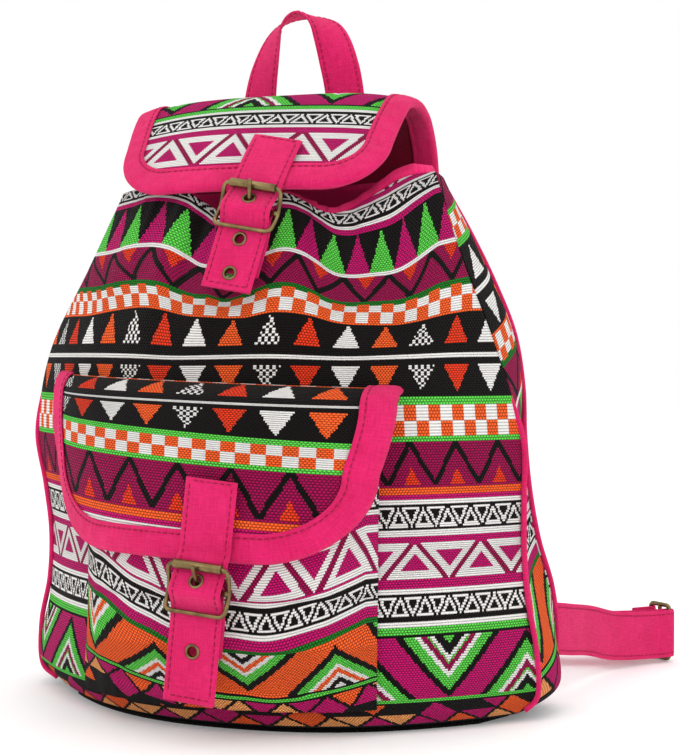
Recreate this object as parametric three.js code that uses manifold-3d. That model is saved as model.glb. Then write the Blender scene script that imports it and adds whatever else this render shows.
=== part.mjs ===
// A mini rucksack of striped jacquard cloth with pink canvas trim, in millimetres.
// +Z is up, the front faces -Y, and the origin is the middle of the flat base.
// Cloth panels are thin closed solids that follow the slumped shape of the soft bag.
import * as THREE from "three";
import { mergeVertices } from "three/addons/utils/BufferGeometryUtils.js";
import Module from "manifold-3d";

const wasm = await Module();
wasm.setup();

// Driving dimensions of the bag body.
const BODY_HEIGHT = 290; // floor to the drawn-in mouth, at the back
const BELLY_HALF = 146; // half width between the front seams at the widest place
const FRONT_BULGE = 82; // how far the front swells ahead of its seams
const BACK_DEPTH = 46; // back seams behind the middle of the base
const PANEL = 2.2; // jacquard with its backing
const LINING = 0.8;
const GAP = 0.35; // clearance between cloth layers
const PIPING_RADIUS = 2;
const FOLDS = 7; // gathers of the drawn mouth
const FOLD_DEPTH = 2.2;

// Driving dimensions of the straps and trim.
const CANVAS = 1.8; // doubled canvas of the closing straps
const CLOSING_WIDTH = 28;
const WEB = 1.6; // shoulder straps and handle
const WEB_WIDTH = 30;
const HANDLE_WIDTH = 25;
const HANDLE_HALF = 27.5;
const HANDLE_RISE = 104; // top of the handle above the mouth
const BINDING_WIDTH = 15;
const BINDING = 0.9;
const FLAP_CLOTH = 1.4;
const FLAP_LINING = 0.8;

// Driving dimensions of the top flap.
const FLAP_HALF = 84;
const FLAP_CORNER = 34;
const FLAP_MIDDLE = 3; // the flap sits a little towards the bag's right seam
const FLAP_DROOP = 9;
const FLAP_DRAPE = 8; // how much further its sides hang over the mouth

// Driving dimensions of the front pocket and its flap.
const POCKET_HALF = 84;
const POCKET_BOTTOM = 14;
const POCKET_TOP = 166;
const POCKET_DEPTH = 20;
const POCKET_CLOTH = 2;
const COVER_HALF = 102; // half width of the pocket's flap at its crease
const COVER_MIDDLE = -9; // the flap sits towards the bag's left seam
const COVER_TILT = 0.035; // and its seam falls to the right
const COVER_NARROWS = 14; // how much narrower each side is at the lower edge
const COVER_CORNER = 44;
const COVER_SEAM = 180; // height of the flap's seam on the body
const COVER_ROOF = 27; // cloth from the seam to the crease
const COVER_DROP = 78; // cloth from the crease to the lower edge

// Driving dimensions of the buckles and sliders, bent from round wire.
const WIRE = 1.5; // radius of a buckle's wire
const ROLLER_BAR = 12; // roller bar above the centre bar
const KEEPER_BAR = 11.5; // keeper bar below the centre bar
const BUCKLE_HALF = 16.2;
const ROLLER_RADIUS = 3;
const ROLLER_LENGTH = 26;
const RUNNING = 0.3; // running gap of rollers and prongs
const PRONG_RADIUS = 1.15;
const PRONG_LENGTH = 17;
const EYELET_BORE = 3.1;
const EYELET_FLANGE = 4.7;
const EYELET_METAL = 0.5;
const STANDOFF = 10.5; // strap plane of a buckle ahead of the cloth it is sewn to
const POCKET_STANDS = 14.03; // strap plane of the pocket's buckle ahead of the pocket's cloth
const POCKET_BAR_DROP = 14; // pocket buckle's centre bar below the lower edge of the pocket's flap
const TOP_BAR_DROP = 18.5; // top buckle's centre bar below the mouth
const SLIDER_WIRE = 1.4;
const SLIDER_PITCH = 9;
const SLIDER_HALF = 16.9;

const PINK = 0xe61e62;
const cloth = (color) => new THREE.MeshStandardMaterial({ color, roughness: 0.95, metalness: 0 });
const jacquard = cloth(0xa01560);
const canvas = cloth(PINK);
const liningCloth = cloth(0xb0123f);
const brass = new THREE.MeshStandardMaterial({ color: 0x8a7347, roughness: 0.38, metalness: 1 });

const bag = new THREE.Group();
const add = (name, geometry, material) => {
  const mesh = new THREE.Mesh(geometry, material);
  mesh.name = name;
  bag.add(mesh);
  return mesh;
};
const vec = (x, y, z) => new THREE.Vector3(x, y, z);
const clamp = (value, low, high) => Math.min(high, Math.max(low, value));
const mix = (a, b, share) => a + (b - a) * share;
const ease = (x) => {
  const s = clamp(x, 0, 1);
  return s * s * (3 - 2 * s);
};

// A smooth function through rows of [key, value], with the slope of its neighbours at each row.
const graph = (rows) => {
  const slope = rows.map((_, i) => {
    const before = rows[Math.max(i - 1, 0)];
    const after = rows[Math.min(i + 1, rows.length - 1)];
    return (after[1] - before[1]) / (after[0] - before[0]);
  });
  return (key) => {
    const x = clamp(key, rows[0][0], rows.at(-1)[0]);
    const i = clamp(rows.findIndex((row) => row[0] >= x) - 1, 0, rows.length - 2);
    const span = rows[i + 1][0] - rows[i][0];
    const s = (x - rows[i][0]) / span;
    const rise = (1 + 2 * s) * (1 - s) ** 2 * rows[i][1] + s * s * (3 - 2 * s) * rows[i + 1][1];
    return rise + span * s * (1 - s) * ((1 - s) * slope[i] - s * slope[i + 1]);
  };
};

// A closed solid between two surfaces that share a grid: side 1 is the outer one.
const between = (columns, rows, point, ring = false) => {
  const places = [];
  const faces = [];
  const wide = ring ? columns : columns + 1;
  for (const side of [1, 0])
    for (let j = 0; j <= rows; j++)
      for (let i = 0; i < wide; i++) places.push(point(i / columns, j / rows, side));
  const at = (i, j, side) => (side ? 0 : wide * (rows + 1)) + j * wide + (i % wide);
  const quad = (a, b, c, d) => faces.push(a, b, c, a, c, d);
  for (let j = 0; j < rows; j++)
    for (let i = 0; i < columns; i++) {
      quad(at(i, j, 1), at(i + 1, j, 1), at(i + 1, j + 1, 1), at(i, j + 1, 1));
      quad(at(i, j, 0), at(i, j + 1, 0), at(i + 1, j + 1, 0), at(i + 1, j, 0));
    }
  for (let i = 0; i < columns; i++) {
    quad(at(i, 0, 0), at(i + 1, 0, 0), at(i + 1, 0, 1), at(i, 0, 1));
    quad(at(i, rows, 1), at(i + 1, rows, 1), at(i + 1, rows, 0), at(i, rows, 0));
  }
  if (!ring)
    for (let j = 0; j < rows; j++) {
      quad(at(0, j, 1), at(0, j + 1, 1), at(0, j + 1, 0), at(0, j, 0));
      quad(at(columns, j, 0), at(columns, j + 1, 0), at(columns, j + 1, 1), at(columns, j, 1));
    }
  const geometry = new THREE.BufferGeometry().setFromPoints(places);
  geometry.setIndex(faces);
  return geometry;
};

// The outward unit normal of a surface (u, v) -> point whose u runs right and v up, seen from outside.
const STEP = 1e-3;
const normalOf = (surface, u, v, step = STEP) => {
  const across = surface(u + step, v).sub(surface(u - step, v));
  const up = surface(u, v + step).sub(surface(u, v - step));
  return across.cross(up).normalize();
};
const offset = (surface, u, v, distance, step = STEP) =>
  surface(u, v).addScaledVector(normalOf(surface, u, v, step), distance);

const solidOf = (geometry) => {
  const bare = geometry.clone();
  bare.deleteAttribute("normal");
  bare.deleteAttribute("uv");
  const merged = mergeVertices(bare, 1e-4);
  return new wasm.Manifold(
    new wasm.Mesh({
      numProp: 3,
      vertProperties: merged.attributes.position.array,
      triVerts: new Uint32Array(merged.index.array),
    }),
  );
};
const geometryOf = (solid) => {
  const mesh = solid.getMesh();
  const geometry = new THREE.BufferGeometry();
  geometry.setAttribute("position", new THREE.BufferAttribute(mesh.vertProperties, 3));
  geometry.setIndex(new THREE.BufferAttribute(mesh.triVerts, 1));
  return geometry;
};
const cut = (geometry, tools) =>
  geometryOf(tools.reduce((left, tool) => left.subtract(solidOf(tool)), solidOf(geometry)));
const join = (pieces) =>
  geometryOf(pieces.slice(1).reduce((sum, piece) => sum.add(solidOf(piece)), solidOf(pieces[0])));

const signedVolume = (geometry) => {
  const read = (i) => vec().fromBufferAttribute(geometry.attributes.position, i);
  let sum = 0;
  for (let i = 0; i < geometry.index.count; i += 3) {
    const [a, b, c] = [0, 1, 2].map((k) => read(geometry.index.getX(i + k)));
    sum += a.dot(b.cross(c)) / 6;
  }
  return sum;
};

// The same solid on the other side of the bag.
const mirroredX = (geometry) => {
  const other = geometry.clone().scale(-1, 1, 1);
  const index = other.index.array;
  for (let i = 0; i < index.length; i += 3) [index[i + 1], index[i + 2]] = [index[i + 2], index[i + 1]];
  return other;
};

// A solid from rings of points; a loop closes on itself and open ends are capped.
const skinned = (rings, loop = false) => {
  const faces = [];
  const n = rings[0].length;
  const runs = loop ? rings.length : rings.length - 1;
  const at = (i, j) => (i % rings.length) * n + (j % n);
  for (let i = 0; i < runs; i++)
    for (let j = 0; j < n; j++) {
      faces.push(at(i, j), at(i, j + 1), at(i + 1, j + 1));
      faces.push(at(i, j), at(i + 1, j + 1), at(i + 1, j));
    }
  return { faces, places: rings.flat(), at };
};
const closed = ({ faces, places }) => {
  const geometry = new THREE.BufferGeometry().setFromPoints(places);
  geometry.setIndex(faces);
  if (signedVolume(geometry) > 0) return geometry;
  for (let i = 0; i < faces.length; i += 3) [faces[i + 1], faces[i + 2]] = [faces[i + 2], faces[i + 1]];
  geometry.setIndex(faces);
  return geometry;
};
const capped = (skin, section, count) => {
  const outline = section.map(([a, b]) => new THREE.Vector2(a, b));
  const turned = THREE.ShapeUtils.isClockWise(outline);
  for (const face of THREE.ShapeUtils.triangulateShape(outline, [])) {
    const [a, b, c] = turned ? face.reverse() : face;
    skin.faces.push(skin.at(0, c), skin.at(0, b), skin.at(0, a));
    skin.faces.push(skin.at(count - 1, a), skin.at(count - 1, b), skin.at(count - 1, c));
  }
  return skin;
};

// A section of [across, out] points carried along stations {at, side, out}.
const carried = (section, stations, loop = false) => {
  const rings = stations.map((s) =>
    section.map(([a, b]) => s.at.clone().addScaledVector(s.side, a).addScaledVector(s.out, b)),
  );
  const skin = skinned(rings, loop);
  return closed(loop ? skin : capped(skin, section, stations.length));
};
const circle = (radius, sides) =>
  Array.from({ length: sides }, (_, i) => {
    const a = ((i + 0.5) * 2 * Math.PI) / sides;
    return [radius * Math.cos(a), radius * Math.sin(a)];
  });
const strip = (width, thickness) => [
  [-width / 2, -thickness / 2],
  [width / 2, -thickness / 2],
  [width / 2, thickness / 2],
  [-width / 2, thickness / 2],
];

// Stations along a smooth curve through points, with the strap's width held along a given direction.
const along = (points, longest, widthAt) => {
  const curve = new THREE.CatmullRomCurve3(points, false, "centripetal");
  const runs = points.length - 1;
  const keys = [0];
  for (let i = 0; i < runs; i++) {
    const count = Math.ceil(points[i].distanceTo(points[i + 1]) / longest);
    for (let j = 1; j <= count; j++) keys.push((i + j / count) / runs);
  }
  return keys.map((key) => {
    const tangent = curve.getTangent(key);
    const side = widthAt(key).clone();
    side.addScaledVector(tangent, -side.dot(tangent)).normalize();
    return { at: curve.getPoint(key), side, out: vec().crossVectors(side, tangent).normalize() };
  });
};

// THE BODY

// Heights and seam places by the share of the way up the cloth, from the base to the mouth.
const heights = [
  [0, 2.3], [0.05, 6], [0.12, 19], [0.25, 58], [0.4, 103],
  [0.55, 151], [0.7, BODY_HEIGHT - 92], [0.85, BODY_HEIGHT - 44], [1, BODY_HEIGHT],
];
const heightAt = graph(heights);
const shareAt = graph(heights.map(([k, z]) => [z, k]));
const rightSeam = graph([
  [0, BELLY_HALF - 12], [0.05, BELLY_HALF - 1], [0.12, BELLY_HALF + 7], [0.25, BELLY_HALF + 1],
  [0.4, BELLY_HALF - 2], [0.55, BELLY_HALF - 2], [0.7, BELLY_HALF - 16], [0.85, BELLY_HALF - 35],
  [1, BELLY_HALF - 49],
]);
const leftSeam = graph([
  [0, BELLY_HALF - 22], [0.05, BELLY_HALF - 12], [0.12, BELLY_HALF + 2], [0.25, BELLY_HALF - 6],
  [0.4, BELLY_HALF - 8], [0.55, BELLY_HALF + 1], [0.7, BELLY_HALF - 7], [0.85, BELLY_HALF - 33],
  [1, BELLY_HALF - 57],
]);
const backHalf = graph([
  [0, BELLY_HALF - 18], [0.05, BELLY_HALF - 5], [0.12, BELLY_HALF + 3], [0.25, BELLY_HALF + 3],
  [0.4, BELLY_HALF - 8], [0.55, BELLY_HALF - 13], [0.7, BELLY_HALF - 16], [0.85, BELLY_HALF - 34],
  [1, BELLY_HALF - 57],
]);
const seamDepth = graph([[0, 6], [0.12, 2], [0.4, 4], [0.7, 4], [1, 8]]);
const frontBow = graph([
  [0, FRONT_BULGE - 16], [0.05, FRONT_BULGE - 6], [0.12, FRONT_BULGE], [0.4, FRONT_BULGE - 2],
  [0.6, FRONT_BULGE - 6], [0.8, FRONT_BULGE - 18], [1, FRONT_BULGE - 38],
]);
const backDepth = graph([
  [0, BACK_DEPTH - 6], [0.12, BACK_DEPTH + 4], [0.4, BACK_DEPTH], [0.7, BACK_DEPTH - 4],
  [1, BACK_DEPTH - 12],
]);
const backBow = graph([[0, 4], [0.12, 8], [0.4, 8], [0.7, 6], [1, 3]]);
const sideBow = graph([[0, 2], [0.12, 8], [0.3, -3], [0.5, -3], [0.7, 5], [1, 3]]);

// The mouth droops in front, to the right of the strap, and rises at the right seam.
const mouthDroop = graph([
  [0, -2], [0.2, -2], [0.32, -7], [0.42, -17], [0.52, -15], [0.64, -16], [0.85, 2], [1, 4],
]);

const front = (t, k) => {
  const s = 2 * t - 1;
  const gather = ease((k - 0.62) / 0.38);
  const pleat = FOLD_DEPTH * gather * Math.sin(2 * Math.PI * FOLDS * t);
  const bow = frontBow(k) * (1 - Math.abs(s) ** 2.3);
  const x = mix(-leftSeam(k), rightSeam(k), t);
  return vec(x, -(seamDepth(k) + bow + pleat * (1 - s * s)), heightAt(k) + mouthDroop(t) * gather);
};
const back = (t, k) => {
  const s = 2 * t - 1;
  return vec(-s * backHalf(k), backDepth(k) + backBow(k) * (1 - s * s), heightAt(k));
};
const side = (sign) => (t, k) => {
  const inward = sign > 0 ? t : 1 - t;
  const place = front(sign > 0 ? 1 : 0, k).lerp(back(sign > 0 ? 0 : 1, k), inward);
  place.x += sign * sideBow(k) * Math.sin(Math.PI * inward);
  return place;
};

// Facets of the panels; what lies along them shares their rows and columns.
const PANEL_ROWS = 11;
const FRONT_COLUMNS = 4 * FOLDS;
const BACK_COLUMNS = 8;
const SIDE_COLUMNS = 4;
const FRONT_TRIM = 0.004; // share of the front left free beside each seam
const SIDE_TRIM = 0.065;
const BACK_TRIM = 0.006;
const panel = (surface, columns, trim) =>
  between(columns, PANEL_ROWS, (u, v, outer) =>
    offset(surface, mix(trim, 1 - trim, u), clamp(v, STEP, 1 - STEP), outer ? 0 : -PANEL),
  );
add("front_panel", panel(front, FRONT_COLUMNS, FRONT_TRIM), jacquard);
add("back_panel", panel(back, BACK_COLUMNS, BACK_TRIM), jacquard);
add("side_gusset_right", panel(side(1), SIDE_COLUMNS, SIDE_TRIM), jacquard);
add("side_gusset_left", panel(side(-1), SIDE_COLUMNS, SIDE_TRIM), jacquard);

// Places round the inside of the bag, on the panels' own columns, with the corners cut off.
const columnsOf = (surface, count, trim) =>
  Array.from({ length: count - 1 }, (_, i) => ({ surface, t: mix(trim, 1 - trim, (i + 1) / count) }));
const round = [
  ...columnsOf(front, FRONT_COLUMNS, FRONT_TRIM),
  ...columnsOf(side(1), SIDE_COLUMNS, SIDE_TRIM),
  ...columnsOf(back, BACK_COLUMNS, BACK_TRIM),
  ...columnsOf(side(-1), SIDE_COLUMNS, SIDE_TRIM),
];
const inside = (share, k, inset) => {
  const { surface, t } = round[Math.round(share * round.length) % round.length];
  return offset(surface, t, clamp(k, STEP, 1 - STEP), -inset);
};
const INSET = PANEL + GAP;
const rowAt = (row) => row / PANEL_ROWS;
const LINING_LOW = 2; // rows of the panels between which the lining runs
const LINING_HIGH = PANEL_ROWS - 1;
add(
  "lining",
  between(round.length, LINING_HIGH - LINING_LOW, (u, v, outer) =>
    inside(u, rowAt(mix(LINING_LOW, LINING_HIGH, v)), INSET + (outer ? 0 : LINING)), true),
  liningCloth,
);
const HEM = 1.8;
const hemRise = graph([[-BELLY_HALF, 1], [0, 1], [BELLY_HALF - 49, 7], [BELLY_HALF, 7]]);
add(
  "mouth_hem",
  between(round.length, 2, (u, v, outer) => {
    const low = rowAt(LINING_HIGH) + 0.008;
    const inset = INSET + (outer ? 0 : HEM);
    const place = inside(u, mix(low, 1, Math.min(v * 2, 1)), inset);
    const upward = inside(u, 1, inset).sub(inside(u, low, inset)).normalize();
    return place.addScaledVector(upward, v > 0.9 ? hemRise(place.x) : 0);
  }, true),
  canvas,
);

// The flat base, cut to the outline of the panels' lower edges.
const BASE_THICKNESS = 1.6;
const baseOutline = new THREE.Shape(
  round.map((_, i) => {
    const place = inside(i / round.length, 0, 0);
    return new THREE.Vector2(place.x, place.y);
  }),
);
add(
  "base_panel",
  new THREE.ExtrudeGeometry(baseOutline, { depth: BASE_THICKNESS, bevelEnabled: false }),
  jacquard,
);

// Piping lies outside each seam of the gussets.
const PIPING_FROM = 0.05;
const pipedRows = [PIPING_FROM, ...Array.from({ length: PANEL_ROWS - 1 }, (_, i) => rowAt(i + 1)), 0.985];
const piping = (surface, t, within, gusset) => {
  const points = pipedRows.map((k) => {
    const away = normalOf(surface, within, k).add(normalOf(gusset, 0.5, k));
    away.z = Math.max(away.z, 0);
    return surface(t, k).addScaledVector(away.normalize(), PIPING_RADIUS + GAP + 0.2);
  });
  return carried(circle(PIPING_RADIUS, 8), along(points, BODY_HEIGHT, () => vec(0, 1, 0)));
};
for (const [name, sign] of [["right", 1], ["left", -1]]) {
  const t = sign > 0 ? 1 : 0;
  add(`front_piping_${name}`, piping(front, t, 0.04 + 0.92 * t, side(sign)), canvas);
  add(`back_piping_${name}`, piping(back, 1 - t, 0.96 - 0.92 * t, side(sign)), canvas);
}

// The front panel's distance ahead of the middle of the bag, without its gathers.
const frontReach = (x, z) => {
  const k = shareAt(z);
  const s = clamp((2 * (x + leftSeam(k))) / (leftSeam(k) + rightSeam(k)) - 1, -1, 1);
  return seamDepth(k) + frontBow(k) * (1 - Math.abs(s) ** 2.3);
};

// THE FLAPS. Each is cut flat, as cloth [across, down], and laid over a surface of the same keys.
const LAYERS = FLAP_CLOTH + FLAP_LINING + GAP;
const CLOTH_INSET = 3;
const LEG_GAP = 0.75; // a binding's legs stand off the cloth by this
const FLAP_FACE = LAYERS / 2 + LEG_GAP + BINDING; // outer face of a binding, from the middle of the layers

// Half width of the rounded cut at a distance down the cloth.
const cutWidth = ({ length, corner, half }, t) => {
  const straight = length - corner;
  if (t <= straight) return half(t);
  const centre = half(length) - corner;
  const over = clamp((t - straight) / corner, 0, 1);
  return centre + (half(straight) - centre) * Math.sqrt(1 - over * over);
};

// Distances down the cloth at which both the sheets and the binding have their facets.
const CORNER_STEPS = 6;
const rowsOf = ({ length, corner, facet }) => {
  const straight = length - corner;
  const count = Math.ceil(straight / facet);
  const rows = Array.from({ length: count }, (_, i) => (straight * i) / count);
  for (let i = 0; i <= CORNER_STEPS; i++) rows.push(straight + corner * Math.sin((Math.PI / 2) * (i / CORNER_STEPS)));
  return rows;
};

// The edge of the cut: down the left, round the lower corners and up the right.
const edgeOf = (flap) => {
  const left = rowsOf(flap).map((t) => [-cutWidth(flap, t), t]);
  const centre = -left.at(-1)[0];
  const count = Math.ceil((2 * centre) / 10);
  const lower = [];
  for (let i = 1; i < count; i++) lower.push([mix(-centre, centre, i / count), flap.length]);
  const right = left.map(([s, t]) => [-s, t]).reverse();
  return [...left, ...lower, ...right];
};
const movedIn = (edge, distance) =>
  edge.map(([s, t], i) => {
    const before = edge[Math.max(i - 1, 0)];
    const after = edge[Math.min(i + 1, edge.length - 1)];
    const [ds, dt] = [after[0] - before[0], after[1] - before[1]];
    const size = Math.hypot(ds, dt);
    return [s + (dt / size) * distance, t - (ds / size) * distance];
  });
const onFlap = (flap, s, t, height) => offset((a, b) => flap.surface(a, -b), s, -t, height, 0.5);

// A binding folded over the edge of the cloth: a U of canvas with the layers between its legs.
const bindingOf = (flap) => {
  const inner = LAYERS / 2 + LEG_GAP;
  const section = [
    [0.6, -inner], [BINDING_WIDTH, -inner], [BINDING_WIDTH, -FLAP_FACE], [-0.3, -FLAP_FACE],
    [-0.3, FLAP_FACE], [BINDING_WIDTH, FLAP_FACE], [BINDING_WIDTH, inner], [0.6, inner],
  ];
  const edge = edgeOf(flap);
  const columns = section.map(([a, b]) => movedIn(edge, a).map(([s, t]) => onFlap(flap, s, t, b)));
  const rings = edge.map((_, i) => columns.map((column) => column[i]));
  return closed(capped(skinned(rings), section, rings.length));
};
const sheetOf = (flap, low, high) => {
  const lowest = flap.length - CLOTH_INSET;
  const rows = [lowest, ...rowsOf(flap).filter((t) => t < lowest - 2).reverse()];
  rows[rows.length - 1] += 0.6;
  return between(flap.columns, rows.length - 1, (u, v, outer) => {
    const t = rows[Math.round(v * (rows.length - 1))];
    const s = (2 * u - 1) * (cutWidth(flap, t) - CLOTH_INSET);
    return onFlap(flap, s, t, outer ? high : low);
  });
};
const addFlap = (name, flap) => {
  const top = LAYERS / 2;
  add(name, sheetOf(flap, top - FLAP_CLOTH, top), jacquard);
  add(`${name}_lining`, sheetOf(flap, -top, -top + FLAP_LINING), liningCloth);
  add(`${name}_binding`, bindingOf(flap), canvas);
};

// The top flap climbs from the back, over the drawn mouth, and hangs ahead of it.
const flapProfile = new THREE.CatmullRomCurve3(
  [
    [42, -6], [41, 10], [35, 28], [24, 42], [8, 48.5],
    [-8, 47], [-21, 38], [-35, 24], [-48, 8], [-59, -9],
  ].map(([y, z]) => vec(0, y, BODY_HEIGHT + z)),
);
const flapReach = flapProfile.getLength();
const topFlap = {
  length: flapReach - 1.5,
  corner: FLAP_CORNER,
  facet: 9,
  columns: 12,
  half: (t) => FLAP_HALF - 6 * ease((t - 70) / 90),
  surface: (s, t) => {
    const share = clamp(t / flapReach, 0, 1);
    const place = flapProfile.getPointAt(share);
    const past = clamp(t / flapReach, -1, 2) - share;
    place.addScaledVector(flapProfile.getTangentAt(share), past * flapReach);
    const edge = Math.abs(s / FLAP_HALF);
    place.x = FLAP_MIDDLE + s * (1 - 0.03 * edge ** 4);
    place.z -= FLAP_DROOP * edge ** 3.2 * mix(0.15, 1, ease(share * 2));
    place.z -= FLAP_DRAPE * edge ** 4 * Math.sin(Math.PI * share) ** 2;
    place.y += 9 * edge ** 2.6 * ease((share - 0.45) * 2.2);
    return place;
  },
};
addFlap("top_flap", topFlap);

// THE POCKET

const pocketLift = (x, z) => {
  const s = Math.abs(x / POCKET_HALF);
  const rise = ease((z - POCKET_BOTTOM + 4) / 46);
  return 1 + POCKET_DEPTH * Math.max(0, 1 - s ** 6) * mix(0.2, 1, rise);
};
const pocketSurface = (u, v) => {
  const x = mix(-POCKET_HALF, POCKET_HALF, u);
  const z = mix(POCKET_BOTTOM, POCKET_TOP, v);
  return vec(x, -(frontReach(x, z) + pocketLift(x, z) + POCKET_CLOTH), z);
};
add(
  "pocket_body",
  between(22, 9, (u, v, outer) => {
    const sharp = 0.5 - 0.5 * Math.cos(Math.PI * u);
    return offset(pocketSurface, mix(u, sharp, 0.7), v, outer ? 0 : -POCKET_CLOTH);
  }),
  jacquard,
);

// The pocket's flap: a short roof out from its seam on the body, then a drop over the pocket.
const ROOF_FALL = 9;
const coverLift = (x) => 7.6 + POCKET_DEPTH * Math.max(0, 1 - Math.abs(x / COVER_HALF) ** 4);
const cover = {
  length: COVER_ROOF + COVER_DROP,
  corner: COVER_CORNER,
  facet: 9,
  columns: 16,
  half: (t) => COVER_HALF - COVER_NARROWS * ease((t - COVER_ROOF) / COVER_DROP),
  surface: (s, t) => {
    const turn = (Math.PI / 2) * clamp(t / COVER_ROOF, 0, 1);
    const x = COVER_MIDDLE + s;
    const fall = ROOF_FALL * (1 - Math.cos(turn)) + Math.max(0, t - COVER_ROOF) + Math.min(t, 0);
    const z = COVER_SEAM - COVER_TILT * s - fall;
    const lift = mix(FLAP_FACE + 1, coverLift(x), Math.sin(turn));
    return vec(x, -(frontReach(x, z) + lift), z);
  },
};
addFlap("pocket_flap", cover);

// THE BUCKLES. Each works in its own frame: x across the strap, y out of the bag, z up the strap.

const frameAt = (origin, up) => {
  const z = up.clone().normalize();
  const y = vec(0, -1, 0).addScaledVector(z, z.y).normalize();
  return new THREE.Matrix4().makeBasis(vec().crossVectors(y, z), y, z).setPosition(origin);
};
const BAR_Y = 2.5; // the centre bar lies this far behind the strap's plane
const ROLLER_Y = 1.5;
const barDepth = graph([[-KEEPER_BAR, 1], [0, -BAR_Y], [ROLLER_BAR, ROLLER_Y]]);
const stationsRound = (points, out) =>
  points.map((at, i) => {
    const next = points[(i + 1) % points.length];
    const tangent = next.clone().sub(points.at(i - 1)).normalize();
    const side = vec().crossVectors(tangent, out).normalize();
    return { at, side, out: vec().crossVectors(side, tangent) };
  });
const roundedLoop = (halfWide, low, high, radius) => {
  const corners = [[halfWide, high, 0], [-halfWide, high, 1], [-halfWide, low, 2], [halfWide, low, 3]];
  return corners.flatMap(([x, z, turn]) =>
    [0, 1, 2, 3].map((i) => {
      const a = (Math.PI / 2) * (turn + i / 3);
      const centre = [x - Math.sign(x) * radius, z - Math.sign(z) * radius];
      return [centre[0] + radius * Math.cos(a), centre[1] + radius * Math.sin(a)];
    }),
  );
};
const withMiddles = (loop, most) =>
  loop.flatMap(([x, z], i) => {
    const [nx, nz] = loop[(i + 1) % loop.length];
    const count = Math.max(1, Math.round(Math.hypot(nx - x, nz - z) / most));
    return Array.from({ length: count }, (_, j) => [mix(x, nx, j / count), mix(z, nz, j / count)]);
  });
const rodX = (radius, length, sides) => new THREE.CylinderGeometry(radius, radius, length, sides).rotateZ(Math.PI / 2);
const wireFrame = () => {
  const loop = withMiddles(roundedLoop(BUCKLE_HALF, -KEEPER_BAR, ROLLER_BAR, 3), 5);
  const points = loop.map(([x, z]) => vec(x, barDepth(z), z));
  const rim = carried(circle(WIRE, 8), stationsRound(points, vec(0, 1, 0)), true);
  return join([rim, rodX(WIRE, 2 * BUCKLE_HALF, 8).translate(0, -BAR_Y, 0)]);
};
const ROLLER_BORE = WIRE + RUNNING;
const ROLLER_SIDES = 16;
const tube = (inner, outer, length, sides) =>
  new THREE.LatheGeometry(
    [[inner, -1], [outer, -1], [outer, 1], [inner, 1], [inner, -1]].map(
      ([r, end]) => new THREE.Vector2(r, (end * length) / 2),
    ),
    sides,
  );

// The prong turns on the centre bar and rests on the roller.
const rollerAway = Math.hypot(ROLLER_BAR, ROLLER_Y + BAR_Y);
const PRONG_LEAN =
  Math.atan2(ROLLER_Y + BAR_Y, ROLLER_BAR) +
  Math.asin((ROLLER_RADIUS + RUNNING + PRONG_RADIUS) / rollerAway);
const EYE_RADIUS = 2.65;
const EYE_WIRE = 0.8;
const prongShape = () => {
  const eye = new THREE.TorusGeometry(EYE_RADIUS, EYE_WIRE, 6, 14).rotateY(Math.PI / 2);
  const profile = [[0, 2.3], [PRONG_RADIUS, 2.3], [PRONG_RADIUS, 15], [0.8, 16.4], [0, PRONG_LENGTH]];
  const shank = new THREE.LatheGeometry(profile.map(([r, h]) => new THREE.Vector2(r, h)), 10);
  return join([eye, shank.rotateX(Math.PI / 2 - PRONG_LEAN)]).translate(0, -BAR_Y, 0);
};

// The strap dips behind the roller, rides over the centre bar and passes behind the keeper bar.
const STRAP_SLOPE = 0.55;
const CROSSING = (() => {
  const rise = Math.tan(PRONG_LEAN);
  const start = 3.3;
  return (start + BAR_Y) / (rise + STRAP_SLOPE);
})();
const strapLine = (z) => 3.3 - STRAP_SLOPE * z;
const eyeletReach = EYELET_FLANGE * Math.cos(Math.atan(STRAP_SLOPE));
const strapTail = -2.3;
const strapWave = [
  [ROLLER_BAR + 2.5, -3.3],
  [ROLLER_BAR, -3.1],
  [CROSSING + eyeletReach, strapLine(CROSSING + eyeletReach)],
  [CROSSING, strapLine(CROSSING)],
  [CROSSING - eyeletReach, strapLine(CROSSING - eyeletReach)],
  [-1.8, 3.1],
  [-4, 1.7],
  [-7, -0.7],
  [-KEEPER_BAR, strapTail + 0.1],
  [-KEEPER_BAR - 4, strapTail],
];
const eyeletAt = (z) => {
  const inWave = z > -KEEPER_BAR;
  const lean = inWave ? Math.atan(STRAP_SLOPE) : 0;
  return new THREE.Matrix4()
    .makeRotationX(lean)
    .setPosition(0, inWave ? strapLine(z) : strapTail, z);
};
const eyeletShape = () => {
  const face = CANVAS / 2 + 0.1;
  const rim = face + EYELET_METAL;
  const profile = [
    [EYELET_BORE, -rim], [EYELET_FLANGE, -rim], [EYELET_FLANGE, -face],
    [EYELET_BORE + EYELET_METAL, -face], [EYELET_BORE + EYELET_METAL, face],
    [EYELET_FLANGE, face], [EYELET_FLANGE, rim], [EYELET_BORE, rim], [EYELET_BORE, -rim],
  ];
  return new THREE.LatheGeometry(profile.map(([r, h]) => new THREE.Vector2(r, h)), 14);
};
const eyeletRoom = () => {
  const bore = new THREE.CylinderGeometry(EYELET_BORE + EYELET_METAL + 0.25, EYELET_BORE + EYELET_METAL + 0.25, 8, 16);
  const seat = (end) =>
    new THREE.CylinderGeometry(EYELET_FLANGE + 0.3, EYELET_FLANGE + 0.3, 4, 16)
      .translate(0, end * (CANVAS / 2 + 2.02), 0);
  return [bore, seat(1), seat(-1)];
};

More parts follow.
